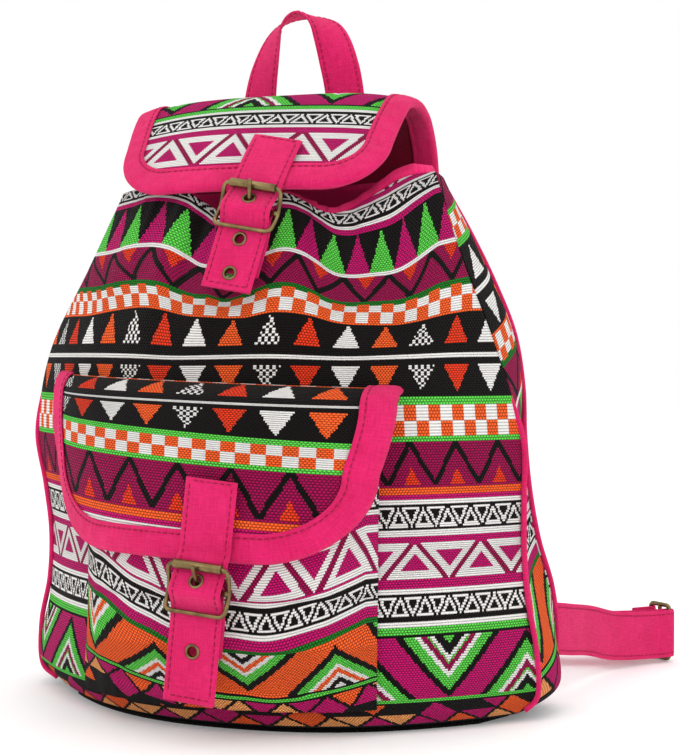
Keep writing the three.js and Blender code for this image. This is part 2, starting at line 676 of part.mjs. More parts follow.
// The chape folds round the centre bar and is sewn down behind the strap, with a slot for the prong.
const CHAPE = 1.4;
const CHAPE_WIDTH = 25.5;
const chapeShape = (standoff, length) => {
  const turn = WIRE + GAP + CHAPE / 2;
  const back = -standoff + GAP + CHAPE / 2;
  const front = back + CHAPE + GAP;
  const path = [
    [-length, back], [-length * 0.55, back], [-9, mix(back, -BAR_Y - turn, 0.35)], [-4, -BAR_Y - turn + 0.1],
    [0, -BAR_Y - turn], [turn * 0.71, -BAR_Y - turn * 0.71], [turn, -BAR_Y],
    [turn * 0.71, -BAR_Y + turn * 0.71], [0, -BAR_Y + turn], [-3.4, -BAR_Y + turn - 1.6],
    [-7.5, mix(front, -BAR_Y + turn, 0.25)], [-12, front + 0.4], [-length * 0.55, front], [-length, front],
  ].map(([z, y]) => vec(0, y, z));
  const fold = carried(strip(CHAPE_WIDTH, CHAPE), along(path, 6, () => vec(1, 0, 0)));
  return cut(fold, [new THREE.BoxGeometry(3.8, 8.6, 8.6).translate(0, -BAR_Y, 0.2)]);
};

const addBuckle = ({ name, owner, place, standoff, chape, above, eyelets, tail }) => {
  const strapPath = [
    ...above,
    ...strapWave.map(([z, y]) => vec(0, y, z)),
    ...[0.35, 0.7, 1].map((share) => vec(0, strapTail, mix(-KEEPER_BAR - 4, -tail, share))),
  ];
  const strap = carried(strip(CLOSING_WIDTH, CANVAS), along(strapPath, 3, () => vec(1, 0, 0)));
  const rooms = eyelets.flatMap((z) => eyeletRoom().map((tool) => tool.applyMatrix4(eyeletAt(z))));
  const set = (part, geometry, material) => add(part, geometry.applyMatrix4(place), material);
  set(`${owner}_strap`, cut(strap, rooms), canvas);
  eyelets.forEach((z, i) => set(`${owner}_eyelet_${i + 1}`, eyeletShape().applyMatrix4(eyeletAt(z)), brass));
  set(`${name}_chape`, chapeShape(standoff, chape), canvas);
  set(`${name}_frame`, wireFrame(), brass);
  const roller = tube(ROLLER_BORE, ROLLER_RADIUS, ROLLER_LENGTH, ROLLER_SIDES).rotateZ(Math.PI / 2);
  set(`${name}_roller`, roller.translate(0, ROLLER_Y, ROLLER_BAR), brass);
  set(`${name}_prong`, prongShape(), brass);
};

// Points of a strap that lies on a flap, read in the buckle's frame.
const overFlap = (flap, place, rows) => {
  const inward = place.clone().invert();
  return rows.map((t) => {
    const guess = vec(0, 0, 30).applyMatrix4(place);
    const s = guess.x - (flap === topFlap ? FLAP_MIDDLE : COVER_MIDDLE);
    const point = onFlap(flap, s, t, FLAP_FACE + GAP + CANVAS / 2 + 0.6).applyMatrix4(inward);
    return vec(0, point.y, point.z);
  });
};
const TOP_BUCKLE = frameAt(vec(14, -69.5, BODY_HEIGHT - TOP_BAR_DROP), vec(0.17, 0.3, 0.94));
addBuckle({
  name: "top_buckle",
  owner: "closing",
  place: TOP_BUCKLE,
  standoff: STANDOFF,
  chape: 34,
  above: overFlap(topFlap, TOP_BUCKLE, [31, 24, 17, 10, 3].map((up) => topFlap.length - up)),
  eyelets: [CROSSING, -17, -36],
  tail: 45,
});
const coverEdge = COVER_SEAM - ROOF_FALL - COVER_DROP;
const POCKET_BAR = vec(8.5, 0, coverEdge - POCKET_BAR_DROP);
POCKET_BAR.y = -(frontReach(POCKET_BAR.x, POCKET_BAR.z) + pocketLift(POCKET_BAR.x, POCKET_BAR.z) + POCKET_CLOTH + POCKET_STANDS);
const POCKET_BUCKLE = frameAt(POCKET_BAR, vec(0.1, 0, 1));
addBuckle({
  name: "pocket_buckle",
  owner: "pocket",
  place: POCKET_BUCKLE,
  standoff: STANDOFF,
  chape: 34,
  above: overFlap(cover, POCKET_BUCKLE, [41, 31, 21, 12, 4].map((up) => cover.length - up)),
  eyelets: [CROSSING, -31],
  tail: 57,
});

// STRAPS AND HANDLE

// A canvas patch on the back carries the handle and both shoulder straps.
const PATCH_HALF = 76;
const PATCH_LOW = BODY_HEIGHT - 34;
const PATCH_HIGH = BODY_HEIGHT + 8;
const behind = (x, z) => {
  const k = shareAt(z);
  return backDepth(k) + backBow(k) * (1 - (x / backHalf(k)) ** 2);
};
const patchDepth = behind(0, BODY_HEIGHT) + 8.9;
add(
  "strap_patch",
  between(12, 4, (u, v, outer) => {
    const x = mix(PATCH_HALF, -PATCH_HALF, u);
    const z = mix(PATCH_LOW, PATCH_HIGH, v);
    return vec(x, patchDepth + (outer ? WEB : 0), z);
  }),
  canvas,
);
const sewn = patchDepth + WEB + GAP + WEB / 2;

// The handle twists half a turn on its way over, so that the hand meets its broad side.
const handlePath = [
  [-1, -22], [-1, 6], [-1.03, 34], [-0.86, 72], [-0.5, 97], [0, 104],
  [0.5, 97], [0.86, 72], [1.03, 34], [1, 6], [1, -22],
].map(([x, z]) => vec(x * HANDLE_HALF, sewn - 3 * ease(z / 60), BODY_HEIGHT + (z * HANDLE_RISE) / 104));
const handleTwist = (share) => {
  const turn = -Math.PI * ease((share - 0.14) / 0.72);
  return vec(Math.cos(turn), Math.sin(turn), 0);
};
add("grab_handle", carried(strip(HANDLE_WIDTH, WEB), along(handlePath, 7, handleTwist)), canvas);

// Each shoulder strap hangs behind the bag and meets its lower strap in a wire slider on the floor.
const SLIDER_AT = vec(184, 206, SLIDER_HALF + SLIDER_WIRE + 0.2);
const AHEAD = vec(0.66, 0.751, 0).normalize(); // the way the straps run into the slider
const NEAR = vec(AHEAD.y, -AHEAD.x, 0); // from the slider towards the near strap
const loopTurn = SLIDER_WIRE + GAP + WEB / 2;
const turnRound = (bar, from) =>
  [0, 0.25, 0.5, 0.75, 1].map((share) => {
    const a = Math.PI * share;
    const swing = NEAR.clone().multiplyScalar(from * Math.cos(a)).addScaledVector(AHEAD, Math.sin(a));
    return bar.clone().addScaledVector(swing, loopTurn);
  });
const shifted = (point, ahead) => point.clone().addScaledVector(AHEAD, ahead);
for (const [name, sign] of [["right", 1], ["left", -1]]) {
  const mirrored = (stations) =>
    stations.map(({ at, side, out }) => ({
      at: at.multiply(vec(sign, 1, 1)),
      side: side.multiply(vec(sign, 1, 1)),
      out: out.multiply(vec(sign, 1, 1)),
    }));
  const nearBar = SLIDER_AT.clone().addScaledVector(NEAR, SLIDER_PITCH);
  const farBar = SLIDER_AT.clone().addScaledVector(NEAR, -SLIDER_PITCH);
  const nearTurn = turnRound(nearBar, 1);
  const farTurn = turnRound(farBar, -1);
  const lower = [
    vec(110, behind(110, 39) + 1.3, 39), vec(126, behind(126, 39) + 2, 39), vec(143, 71, 38),
    vec(150, 96, 34), vec(155, 126, 29), vec(164, 155, 22),
    shifted(nearTurn[0], -16), ...nearTurn,
    shifted(nearTurn[4], -9), shifted(nearTurn[4], -30).setZ(19.4), shifted(nearTurn[4], -50).setZ(20.5),
  ];
  add(
    `lower_strap_${name}`,
    carried(strip(WEB_WIDTH, WEB), mirrored(along(lower, 9, () => vec(0, 0, 1)))),
    canvas,
  );
  const upper = [
    vec(58, sewn, BODY_HEIGHT - 18), vec(58, sewn + 0.3, BODY_HEIGHT - 40), vec(58, 58, 215), vec(56, 80, 165), vec(52, 112, 110),
    vec(50, 148, 56), vec(74, 172, 26), vec(108, 176, 18.8), vec(138, 181, 18.6),
    shifted(farTurn[0], -16), ...farTurn, shifted(farTurn[4], -8), shifted(farTurn[4], -17),
  ];
  const laid = (share) => {
    const turn = (Math.PI / 2) * ease((share - 0.5) / 0.24);
    return vec(Math.cos(turn), 0, Math.sin(turn));
  };
  add(
    `shoulder_strap_${name}`,
    carried(strip(WEB_WIDTH, WEB), mirrored(along(upper, 9, laid))),
    canvas,
  );
  const loop = withMiddles(roundedLoop(SLIDER_PITCH, -SLIDER_HALF, SLIDER_HALF, 2.6), 9);
  const rim = carried(
    circle(SLIDER_WIRE, 8),
    stationsRound(loop.map(([x, z]) => vec(x, 0, z)), vec(0, 1, 0)),
    true,
  );
  const bar = new THREE.CylinderGeometry(SLIDER_WIRE, SLIDER_WIRE, 2 * SLIDER_HALF, 8).rotateX(Math.PI / 2);
  const turnTo = Math.atan2(NEAR.y, NEAR.x);
  const slider = join([rim, bar]).rotateZ(turnTo).translate(SLIDER_AT.x, SLIDER_AT.y, SLIDER_AT.z);
  add(`slider_${name}`, sign > 0 ? slider : mirroredX(slider), brass);
}

export default bag;
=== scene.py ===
import math

import bmesh
import bpy
import numpy as np
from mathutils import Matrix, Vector


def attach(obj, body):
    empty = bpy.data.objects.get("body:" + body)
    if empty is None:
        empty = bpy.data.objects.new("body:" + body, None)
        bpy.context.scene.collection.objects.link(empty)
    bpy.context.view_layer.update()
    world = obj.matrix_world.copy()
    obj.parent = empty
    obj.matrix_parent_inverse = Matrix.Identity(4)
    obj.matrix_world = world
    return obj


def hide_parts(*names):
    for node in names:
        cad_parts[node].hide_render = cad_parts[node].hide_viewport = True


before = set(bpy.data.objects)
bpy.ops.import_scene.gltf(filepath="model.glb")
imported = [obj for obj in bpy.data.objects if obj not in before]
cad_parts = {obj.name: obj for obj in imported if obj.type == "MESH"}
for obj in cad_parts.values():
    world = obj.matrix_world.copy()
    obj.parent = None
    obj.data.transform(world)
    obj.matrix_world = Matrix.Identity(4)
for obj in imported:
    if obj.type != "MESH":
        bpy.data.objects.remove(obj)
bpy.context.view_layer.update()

# The camera stands where the photographer stood: 950 mm ahead of the bag and to its right,
# at half its height, looking a little past its middle.
lens = bpy.data.cameras.new("camera")
lens.lens = 80.58
lens.clip_start = 0.01
camera = bpy.data.objects.new("camera", lens)
camera.location = (0.3559, -0.8808, 0.195)
camera.rotation_euler = (math.radians(89.237), 0, math.radians(19.73))
bpy.context.scene.collection.objects.link(camera)
bpy.context.scene.camera = camera

# A white studio table under large soft lamps: one ahead and to the left, one overhead, one at
# the right, and an even glow from all round.
bpy.context.scene.view_settings.view_transform = "Standard"
world = bpy.data.worlds.new("studio")
world.use_nodes = True
world.node_tree.nodes["Background"].inputs["Color"].default_value = (1, 1, 1, 1)
world.node_tree.nodes["Background"].inputs["Strength"].default_value = 1.0
bpy.context.scene.world = world


def lamp(name, place, target, size, power):
    """A square soft lamp at a place, turned towards a target, all in metres and watts."""
    light = bpy.data.lights.new(name, "AREA")
    light.size = size
    light.energy = power
    holder = bpy.data.objects.new(name, light)
    holder.location = place
    holder.rotation_euler = (Vector(target) - Vector(place)).to_track_quat("-Z", "Y").to_euler()
    bpy.context.scene.collection.objects.link(holder)


lamp("key", (-0.5, -1.7, 1.5), (0, 0, 0.15), 1.4, 7)
lamp("fill", (1.7, -0.9, 0.9), (0, 0, 0.15), 1.2, 3)
lamp("overhead", (0.1, 0.2, 2.0), (0, 0, 0), 1.6, 8)


def linear(red, green, blue):
    """A colour given in 0 to 255, turned into the light that a shader works with."""
    return tuple((c / 255) ** 2.2 for c in (red, green, blue)) + (1.0,)


class Number:
    """A number in a material: arithmetic on it adds Math nodes to that material."""

    def __init__(self, tree, socket):
        self.tree = tree
        self.socket = socket

    def math(self, operation, *others):
        node = self.tree.nodes.new("ShaderNodeMath")
        node.operation = operation
        for slot, value in zip(node.inputs, (self, *others)):
            if isinstance(value, Number):
                self.tree.links.new(value.socket, slot)
            else:
                slot.default_value = value
        return Number(self.tree, node.outputs[0])

    def __add__(self, other):
        return self.math("ADD", other)

    def __sub__(self, other):
        return self.math("SUBTRACT", other)

    def __mul__(self, other):
        return self.math("MULTIPLY", other)

    def __truediv__(self, other):
        return self.math("DIVIDE", other)

    def __lt__(self, other):
        return self.math("LESS_THAN", other)

    def __gt__(self, other):
        return self.math("GREATER_THAN", other)

    def flipped(self, whole=1.0):
        """What is left of a whole."""
        return self.math("MULTIPLY_ADD", -1.0, whole)

    def floor(self):
        return self.math("FLOOR")

    def wave(self, period, phase=0.0):
        """The distance to the nearest of the marks that stand a period apart."""
        return (self - phase).math("PINGPONG", period / 2)


class Finish:
    """A material under construction, with its shader and the numbers and colours that feed it."""

    def __init__(self, name, slot, roughness, metallic=0.0, sheen=0.0):
        self.material = bpy.data.materials.new(name)
        self.material.use_nodes = True
        self.tree = self.material.node_tree
        self.shader = self.tree.nodes["Principled BSDF"]
        self.shader.inputs["Roughness"].default_value = roughness
        self.shader.inputs["Metallic"].default_value = metallic
        self.shader.inputs["Sheen Weight"].default_value = sheen
        self.shader.inputs["Sheen Roughness"].default_value = 0.5
        self.shader.inputs["Specular IOR Level"].default_value = 0.5 if metallic else 0.08

    def cloth(self):
        """The place on the flat cloth in millimetres, across and along."""
        node = self.tree.nodes.new("ShaderNodeUVMap")
        node.uv_map = "cloth"
        split = self.tree.nodes.new("ShaderNodeSeparateXYZ")
        self.tree.links.new(node.outputs[0], split.inputs[0])
        return Number(self.tree, split.outputs[0]), Number(self.tree, split.outputs[1])

    def noise(self, scale, detail=2.0, stretch=(1, 1, 1), on_cloth=False):
        """Soft noise in metres of the piece, or in millimetres of its flat cloth."""
        place = self.tree.nodes.new("ShaderNodeUVMap" if on_cloth else "ShaderNodeTexCoord")
        if on_cloth:
            place.uv_map = "cloth"
        pull = self.tree.nodes.new("ShaderNodeMapping")
        pull.inputs["Scale"].default_value = stretch
        self.tree.links.new(place.outputs[0 if on_cloth else "Object"], pull.inputs["Vector"])
        node = self.tree.nodes.new("ShaderNodeTexNoise")
        node.inputs["Scale"].default_value = scale
        node.inputs["Detail"].default_value = detail
        self.tree.links.new(pull.outputs[0], node.inputs["Vector"])
        return Number(self.tree, node.outputs["Fac"])

    def mix(self, share, first, second):
        """The first colour where the share is 0, the second where it is 1."""
        node = self.tree.nodes.new("ShaderNodeMix")
        node.data_type = "RGBA"
        for slot, value in ((node.inputs[0], share), (node.inputs[6], first), (node.inputs[7], second)):
            if isinstance(value, Number):
                value = value.socket
            if isinstance(value, bpy.types.NodeSocket):
                self.tree.links.new(value, slot)
            else:
                slot.default_value = value
        return node.outputs[2]

    def shade(self, colour, factor):
        """A colour socket made darker or lighter by a number."""
        node = self.tree.nodes.new("ShaderNodeVectorMath")
        node.operation = "SCALE"
        self.tree.links.new(colour, node.inputs[0])
        self.tree.links.new(factor.socket, node.inputs["Scale"])
        return node.outputs[0]

    def stripes(self, key, bands):
        """A colour that changes sharply along a number: bands are (start, colour) in order."""
        low, high = bands[0][0], bands[-1][0] + 1
        node = self.tree.nodes.new("ShaderNodeValToRGB")
        node.color_ramp.interpolation = "CONSTANT"
        for i, (start, colour) in enumerate(bands):
            place = (start - low) / (high - low)
            stop = node.color_ramp.elements[0] if i == 0 else node.color_ramp.elements.new(place)
            stop.color = colour
        node.color_ramp.elements.remove(node.color_ramp.elements[len(bands)])
        self.tree.links.new(((key - low) / (high - low)).socket, node.inputs[0])
        return node.outputs[0]

    def done(self, colour, height, depth, roughness=None):
        """Sets the colour, and the relief from a height of 0 to 1 that stands depth metres proud."""
        self.tree.links.new(colour, self.shader.inputs["Base Color"])
        bump = self.tree.nodes.new("ShaderNodeBump")
        bump.inputs["Distance"].default_value = depth
        bump.inputs["Strength"].default_value = 1.0
        self.tree.links.new(height.socket, bump.inputs["Height"])
        self.tree.links.new(bump.outputs[0], self.shader.inputs["Normal"])
        if roughness is not None:
            self.tree.links.new(roughness.socket, self.shader.inputs["Roughness"])
        return self.material


TABLE_PALE = (0.93, 0.93, 0.93, 1)
TABLE_WHITE = (0.96, 0.96, 0.96, 1)
TABLE_REACH = 4  # metres from the middle of the bag to each edge of the table
table_finish = Finish("table", None, 0.6)
grain = table_finish.noise(900, 3.0)
table = table_finish.done(table_finish.mix(grain, TABLE_PALE, TABLE_WHITE), grain, 0.00002)
table_finish.shader.inputs["Emission Color"].default_value = (1, 1, 1, 1)
table_finish.shader.inputs["Emission Strength"].default_value = 0.12
plane = bpy.data.meshes.new("floor")
table_corners = [(x * TABLE_REACH, y * TABLE_REACH, 0) for x, y in ((-1, -1), (1, -1), (1, 1), (-1, 1))]
plane.from_pydata(table_corners, [], [(0, 1, 2, 3)])
plane.materials.append(table)
floor = bpy.data.objects.new("floor", plane)
bpy.context.scene.collection.objects.link(floor)

# The jacquard is a ribbed cotton weave with stitches of about 1.7 by 1.3 mm. Its bands of
# triangles, zigzags, checks and chevrons follow each other down the roll, and every piece of the
# bag is cut from the same cloth.
BLACK = linear(22, 18, 17)
WHITE = linear(242, 240, 236)
MAGENTA = linear(188, 20, 102)
DEEP = linear(148, 16, 74)
GREEN = linear(88, 200, 72)
DARK_GREEN = linear(30, 112, 34)
ORANGE = linear(242, 94, 42)
RED_ORANGE = linear(222, 58, 30)
PEACH = linear(242, 160, 96)
PICK = 1.3  # height of one row of stitches, in millimetres
STITCH = 1.7  # width of one stitch
REPEAT_SPIKE = 28.1
REPEAT_ZIGZAG = 25.7
REPEAT_TRIANGLE = 20.45
REPEAT_LARGE = 38.4
REPEAT_CHEVRON = 96
REPEAT_SMALL = REPEAT_CHEVRON / 7
SQUARE = 6.8
EVEN = 4000  # added before a remainder is taken, so that it is the same on both sides of zero
AXIS = 27  # a place across the cloth where a chevron hangs, and the bands mirror

jacquard_finish = Finish("jacquard", "jacquard", 0.9, sheen=0.04)


def weave(finish):
    """The stitch that a place on the cloth belongs to, and how high the yarn stands there."""
    across, down = finish.cloth()
    row = (down / PICK).floor()
    shift = (row + EVEN).math("MODULO", 2.0) * 0.5
    column = (across / STITCH + shift).floor()
    from_middle = (across / STITCH + shift - column - 0.5) * 2
    from_row = (down / PICK - row - 0.5) * 2
    rib = (from_row * from_row).flipped()
    pillow = (from_middle * from_middle).flipped() * rib
    half = (across / STITCH * 2).floor()
    return (half + 0.5) * (STITCH / 2), (row + 0.5) * PICK, rib, pillow


def spikes(f, colour, u, y, high):
    """Tall green and magenta triangles by turns: their half width grows down the band."""
    reach = y * (7.2 / high)
    colour = f.mix(u.wave(REPEAT_SPIKE, 3.3) < reach, colour, GREEN)
    return f.mix(u.wave(REPEAT_SPIKE, 3.3 + REPEAT_SPIKE / 2) < reach, colour, MAGENTA)


def zigzag(f, colour, u, y, high, upward=False):
    """A black line whose depth follows the distance to its peaks, with a triangle in each gap."""
    local = y.flipped(high) if upward else y
    half = REPEAT_ZIGZAG / 2
    line = (local - u.wave(REPEAT_ZIGZAG, 1.5 + half) * (high / half)).math("ABSOLUTE") < 2.7
    hanging = u.wave(REPEAT_ZIGZAG, 1.5) < (local.flipped(9) * 0.5)
    colour = f.mix(line, colour, BLACK)
    return f.mix(hanging, colour, RED_ORANGE)


def checks(f, colour, u, y, high):
    """Two rows of squares, coloured where a square's numbers across and down add up to odd."""
    odd = ((u / SQUARE).floor() + (y / (high / 2)).floor() + EVEN).math("MODULO", 2.0)
    return f.mix(odd > 0.5, colour, ORANGE)


def triangles(f, colour, u, y, high, upward=True):
    """Single triangles in a cycle of four colours; the third is woven black and white by turns."""
    local = y if upward else y.flipped(16.5)
    wide = 6.8 if upward else 7.8
    tall = 14.5 if upward else 16.5
    inside = (u.wave(REPEAT_TRIANGLE, REPEAT_TRIANGLE / 2) < (local * (wide / tall))) * (y < tall)
    turn = ((u / REPEAT_TRIANGLE).floor() + EVEN).math("MODULO", 4.0)
    speckle = ((u / STITCH).floor() + y.floor() + EVEN).math("MODULO", 2.0) > 0.5
    grey = f.mix(speckle, WHITE, BLACK)
    paint = f.stripes(turn, [(0, ORANGE), (0.5, BLACK), (1.5, RED_ORANGE), (2.5, WHITE)])
    paint = f.mix((turn - 1).math("ABSOLUTE") < 0.5, paint, grey)
    return f.mix(inside, colour, paint)


def outlined(f, colour, u, y, high, period, half, line, fill, upright):
    """One row of hollow triangles, upright or hanging, with a white outline: a place is inside
    where its distance from the triangle's axis is less than the half width at its height."""
    local = y if upright else y.flipped(high)
    inward = local * (half / high) - u.wave(period, AXIS if upright else AXIS + period / 2)
    inside = (inward > 0) * (local < high)
    colour = f.mix(inside, colour, WHITE)
    core = (inward > line) * (local < high - line)
    return f.mix(core, colour, fill)


def small_triangles(f, colour, u, y, high):
    """Upright and hanging hollow triangles by turns, seven of each to a chevron."""
    colour = outlined(f, colour, u, y, high, REPEAT_SMALL, 5.2, 1.6, BLACK, True)
    return outlined(f, colour, u, y, high, REPEAT_SMALL, 5.2, 1.6, BLACK, False)


def large_triangles(f, colour, u, y, high):
    """Upright and hanging hollow triangles by turns, five of each to two chevrons."""
    colour = outlined(f, colour, u, y, high, REPEAT_LARGE, 15.6, 4.6, MAGENTA, True)
    return outlined(f, colour, u, y, high, REPEAT_LARGE, 15.6, 4.6, MAGENTA, False)


def pocket_triangles(f, colour, u, y, high):
    """The same row, woven a little further along."""
    return large_triangles(f, colour, u - 8.9, y, high)


def hanging_triangles(f, colour, u, y, high):
    return triangles(f, colour, u, y, high, upward=False)


def standing_zigzag(f, colour, u, y, high):
    return zigzag(f, colour, u, y, high, upward=True)


# The colours of nested chevrons, by the distance out from the innermost.
NEST_PINK = [
    (0, GREEN), (4, BLACK), (10.5, WHITE), (13.5, GREEN), (15, DEEP), (19.5, WHITE), (23, GREEN),
    (31, BLACK), (36, MAGENTA),
]
NEST_ORANGE = [
    (0, WHITE), (4, BLACK), (9, WHITE), (12.5, ORANGE), (17, WHITE), (20.5, GREEN), (28, BLACK),
    (34, ORANGE),
]


def chevrons(f, colour, u, y, high, nest=NEST_PINK):
    """Nested V shapes that hang from the top of the band, and stand on its foot between them."""
    slope = 1.2
    hanging = y + u.wave(REPEAT_CHEVRON, AXIS) * slope
    standing = y.flipped(high) + u.wave(REPEAT_CHEVRON, AXIS + REPEAT_CHEVRON / 2) * slope
    return f.stripes(hanging.math("MINIMUM", standing), nest)


def orange_chevrons(f, colour, u, y, high):
    return chevrons(f, colour, u, y, high, NEST_ORANGE)


def diamonds(f, colour, u, y, high):
    """Bright triangles between crossing black lines, with mostly black ones in the lower row."""
    down = y.flipped(high)
    rise = u / 23 + down / 27
    fall = u / 23 - down / 27
    gap = (rise.wave(1) < 0.06).math("MAXIMUM", fall.wave(1) < 0.06).math("MAXIMUM", down < 1.5)
    which = (rise.floor() * 2 + fall.floor() + 600).math("MODULO", 5.0)
    bright = [(0, ORANGE), (0.5, PEACH), (1.5, MAGENTA), (2.5, PEACH), (3.5, MAGENTA)]
    paint = f.stripes(which, bright)
    low = f.stripes(which, [(0, ORANGE), (0.5, BLACK), (3.5, MAGENTA)])
    return f.mix(gap, f.mix(down > 14, paint, low), BLACK)


# Each band down the roll: where it ends in millimetres, its ground and its figure.
CLOTH_START = -124
BANDS = [
    (-99.7, BLACK, diamonds), (-98, GREEN, None), (-96, BLACK, None),
    (-60, ORANGE, orange_chevrons), (-57.5, DARK_GREEN, None), (-52.5, MAGENTA, None),
    (-49.5, WHITE, None), (-48.5, BLACK, None), (-38.5, BLACK, small_triangles),
    (-37.5, BLACK, None), (-34.5, WHITE, None), (-33, MAGENTA, None), (-9, DEEP, pocket_triangles),
    (-4.5, MAGENTA, None), (-1.5, WHITE, None), (0, BLACK, None), (11, BLACK, small_triangles),
    (12.5, BLACK, None), (15.5, WHITE, None), (19.5, MAGENTA, None), (45.5, BLACK, spikes),
    (48.5, WHITE, None), (68.5, DEEP, zigzag), (71.8, DARK_GREEN, None), (85.3, WHITE, checks),
    (87.6, ORANGE, None), (107.6, BLACK, triangles), (110.8, WHITE, None), (114.1, BLACK, None),
    (133.1, BLACK, hanging_triangles), (135.9, GREEN, None), (149.4, WHITE, checks),
    (152.2, GREEN, None), (174.2, DEEP, standing_zigzag), (178.2, ORANGE, None),
    (181.7, MAGENTA, None), (184.7, WHITE, None), (186.2, BLACK, None),
    (197.2, BLACK, small_triangles), (199.2, BLACK, None), (202.2, WHITE, None),
    (207.2, MAGENTA, None), (231.2, DEEP, large_triangles), (235.7, MAGENTA, None),
    (238.7, WHITE, None), (240.3, BLACK, None), (249.8, BLACK, small_triangles),
    (251.5, BLACK, None), (254.5, WHITE, None), (258.1, GREEN, None), (260.3, BLACK, None),
    (296.3, MAGENTA, chevrons), (298.8, GREEN, None), (300.3, BLACK, None),
    (324.3, BLACK, diamonds), (329, BLACK, None), (331.5, GREEN, None), (333, BLACK, None),
    (359, BLACK, spikes), (361, WHITE, None),
]


def jacquard_cloth(f):
    """Reads the table of bands into the material, then paints shade into the gaps between the stitches and a
    highlight on their crowns, with random tone.
    """
    u, v, rib, pillow = weave(f)
    starts, last = [], None
    begin = CLOTH_START
    for end, ground, _ in BANDS:
        if ground != last:
            starts.append((begin, ground))
        begin, last = end, ground
    half = len(starts) // 2
    split = starts[half][0]
    colour = f.mix(v > split, f.stripes(v, starts[:half]), f.stripes(v, starts[half:]))
    begin = CLOTH_START
    for end, ground, figure in BANDS:
        if figure:
            inside = (v > begin) * (v < end)
            colour = f.mix(inside, colour, figure(f, colour, u, v - begin, end - begin))
        begin = end
    parts = f.tree.nodes.new("ShaderNodeSeparateColor")
    parts.mode = "HSV"
    f.tree.links.new(colour, parts.inputs[0])
    floated = Number(f.tree, parts.outputs[1]) > 0.4
    relief = rib + (pillow - rib) * floated
    fuzz = f.noise(2600, 2.0)
    cloudy = f.noise(30, 2.0)
    # painted shade in the gaps between the stitches and painted highlight on their crowns, more on the
    # coloured floats; the two noises add random tone
    bright = (relief + floated * 0.2 - 0.667) * (floated * 1.2 + 0.25) + 1
    bright = bright + (fuzz - 0.5) * (floated + 0.3) + (cloudy - 0.5) * 0.3
    return f.done(f.shade(colour, bright), relief + fuzz * 0.5, 0.0009)


jacquard = jacquard_cloth(jacquard_finish)

# The front, back and two gussets are jacquard on a thin backing, sewn into a tube that slumps:
# it swells low down, narrows to the drawn mouth, and droops there in front.
MM = 0.001  # shapes are worked out in millimetres, and meshes are in metres


def ease(x):
    """Rises smoothly from 0 to 1 as x does."""
    s = np.clip(x, 0, 1)
    return s * s * (3 - 2 * s)


def mix(a, b, share):
    """The place a share of the way from a to b."""
    return a + (b - a) * share


def graph(rows):
    """A smooth function through rows of (key, value): a cubic between neighbours, whose slope
    at each row is the rise from the row before it to the row after it, over their distance."""
    keys, values = np.array(rows, float).T
    ends = np.arange(len(keys))
    before, after = np.maximum(ends - 1, 0), np.minimum(ends + 1, len(keys) - 1)
    slope = (values[after] - values[before]) / (keys[after] - keys[before])

    def read(key):
        x = np.clip(key, keys[0], keys[-1])
        i = np.clip(np.searchsorted(keys, x) - 1, 0, len(keys) - 2)
        span = keys[i + 1] - keys[i]
        s = (x - keys[i]) / span
        rise = (1 + 2 * s) * (1 - s) ** 2 * values[i] + s * s * (3 - 2 * s) * values[i + 1]
        return rise + span * s * (1 - s) * ((1 - s) * slope[i] - s * slope[i + 1])

    return read


def points(x, y, z):
    """One array of points from their coordinates."""
    return np.stack(np.broadcast_arrays(x, y, z), axis=-1).astype(float)


def unit(vectors):
    """The same directions, each of length 1."""
    return vectors / np.linalg.norm(vectors, axis=-1, keepdims=True)


def lifted(surface, u, v, height, step=1e-3):
    """Points at a height off a surface, along the cross product of its slopes right and up."""
    across = surface(u + step, v) - surface(u - step, v)
    up = surface(u, v + step) - surface(u, v - step)
    return surface(u, v) + unit(np.cross(across, up)) * np.asarray(height)[..., None]


def solid(name, places, faces, keys, material, nodes=(), body="bag", cut=()):
    """A closed mesh from points in millimetres, faces of four, and the place of each corner on
    the flat cloth, turned to face outwards. cut lists solids to take out of it."""
    first, second, third, fourth = (places[faces[:, n]] for n in range(4))
    if (first * (np.cross(second, third) + np.cross(third, fourth))).sum() < 0:
        faces, keys = faces[:, ::-1], keys[:, ::-1]
    mesh = bpy.data.meshes.new(name)
    mesh.from_pydata(places * MM, [], faces)
    mesh.uv_layers.new(name="cloth").data.foreach_set("uv", keys.reshape(-1).astype(np.float32))
    drawn = bmesh.new()
    drawn.from_mesh(mesh)
    bmesh.ops.remove_doubles(drawn, verts=drawn.verts, dist=1e-7)
    drawn.to_mesh(mesh)
    drawn.free()
    mesh.shade_smooth()
    mesh.materials.append(material)
    made = bpy.data.objects.new(name, mesh)
    bpy.context.scene.collection.objects.link(made)
    for tool in cut:
        take = made.modifiers.new("cut", "BOOLEAN")
        take.object = tool
        take.solver = "EXACT"
    if cut:
        drawn = made.evaluated_get(bpy.context.evaluated_depsgraph_get())
        made.data = bpy.data.meshes.new_from_object(drawn)
        made.modifiers.clear()
        for tool in cut:
            bpy.data.objects.remove(tool)
    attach(made, body)
    if nodes:
        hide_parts(*nodes)
    return made


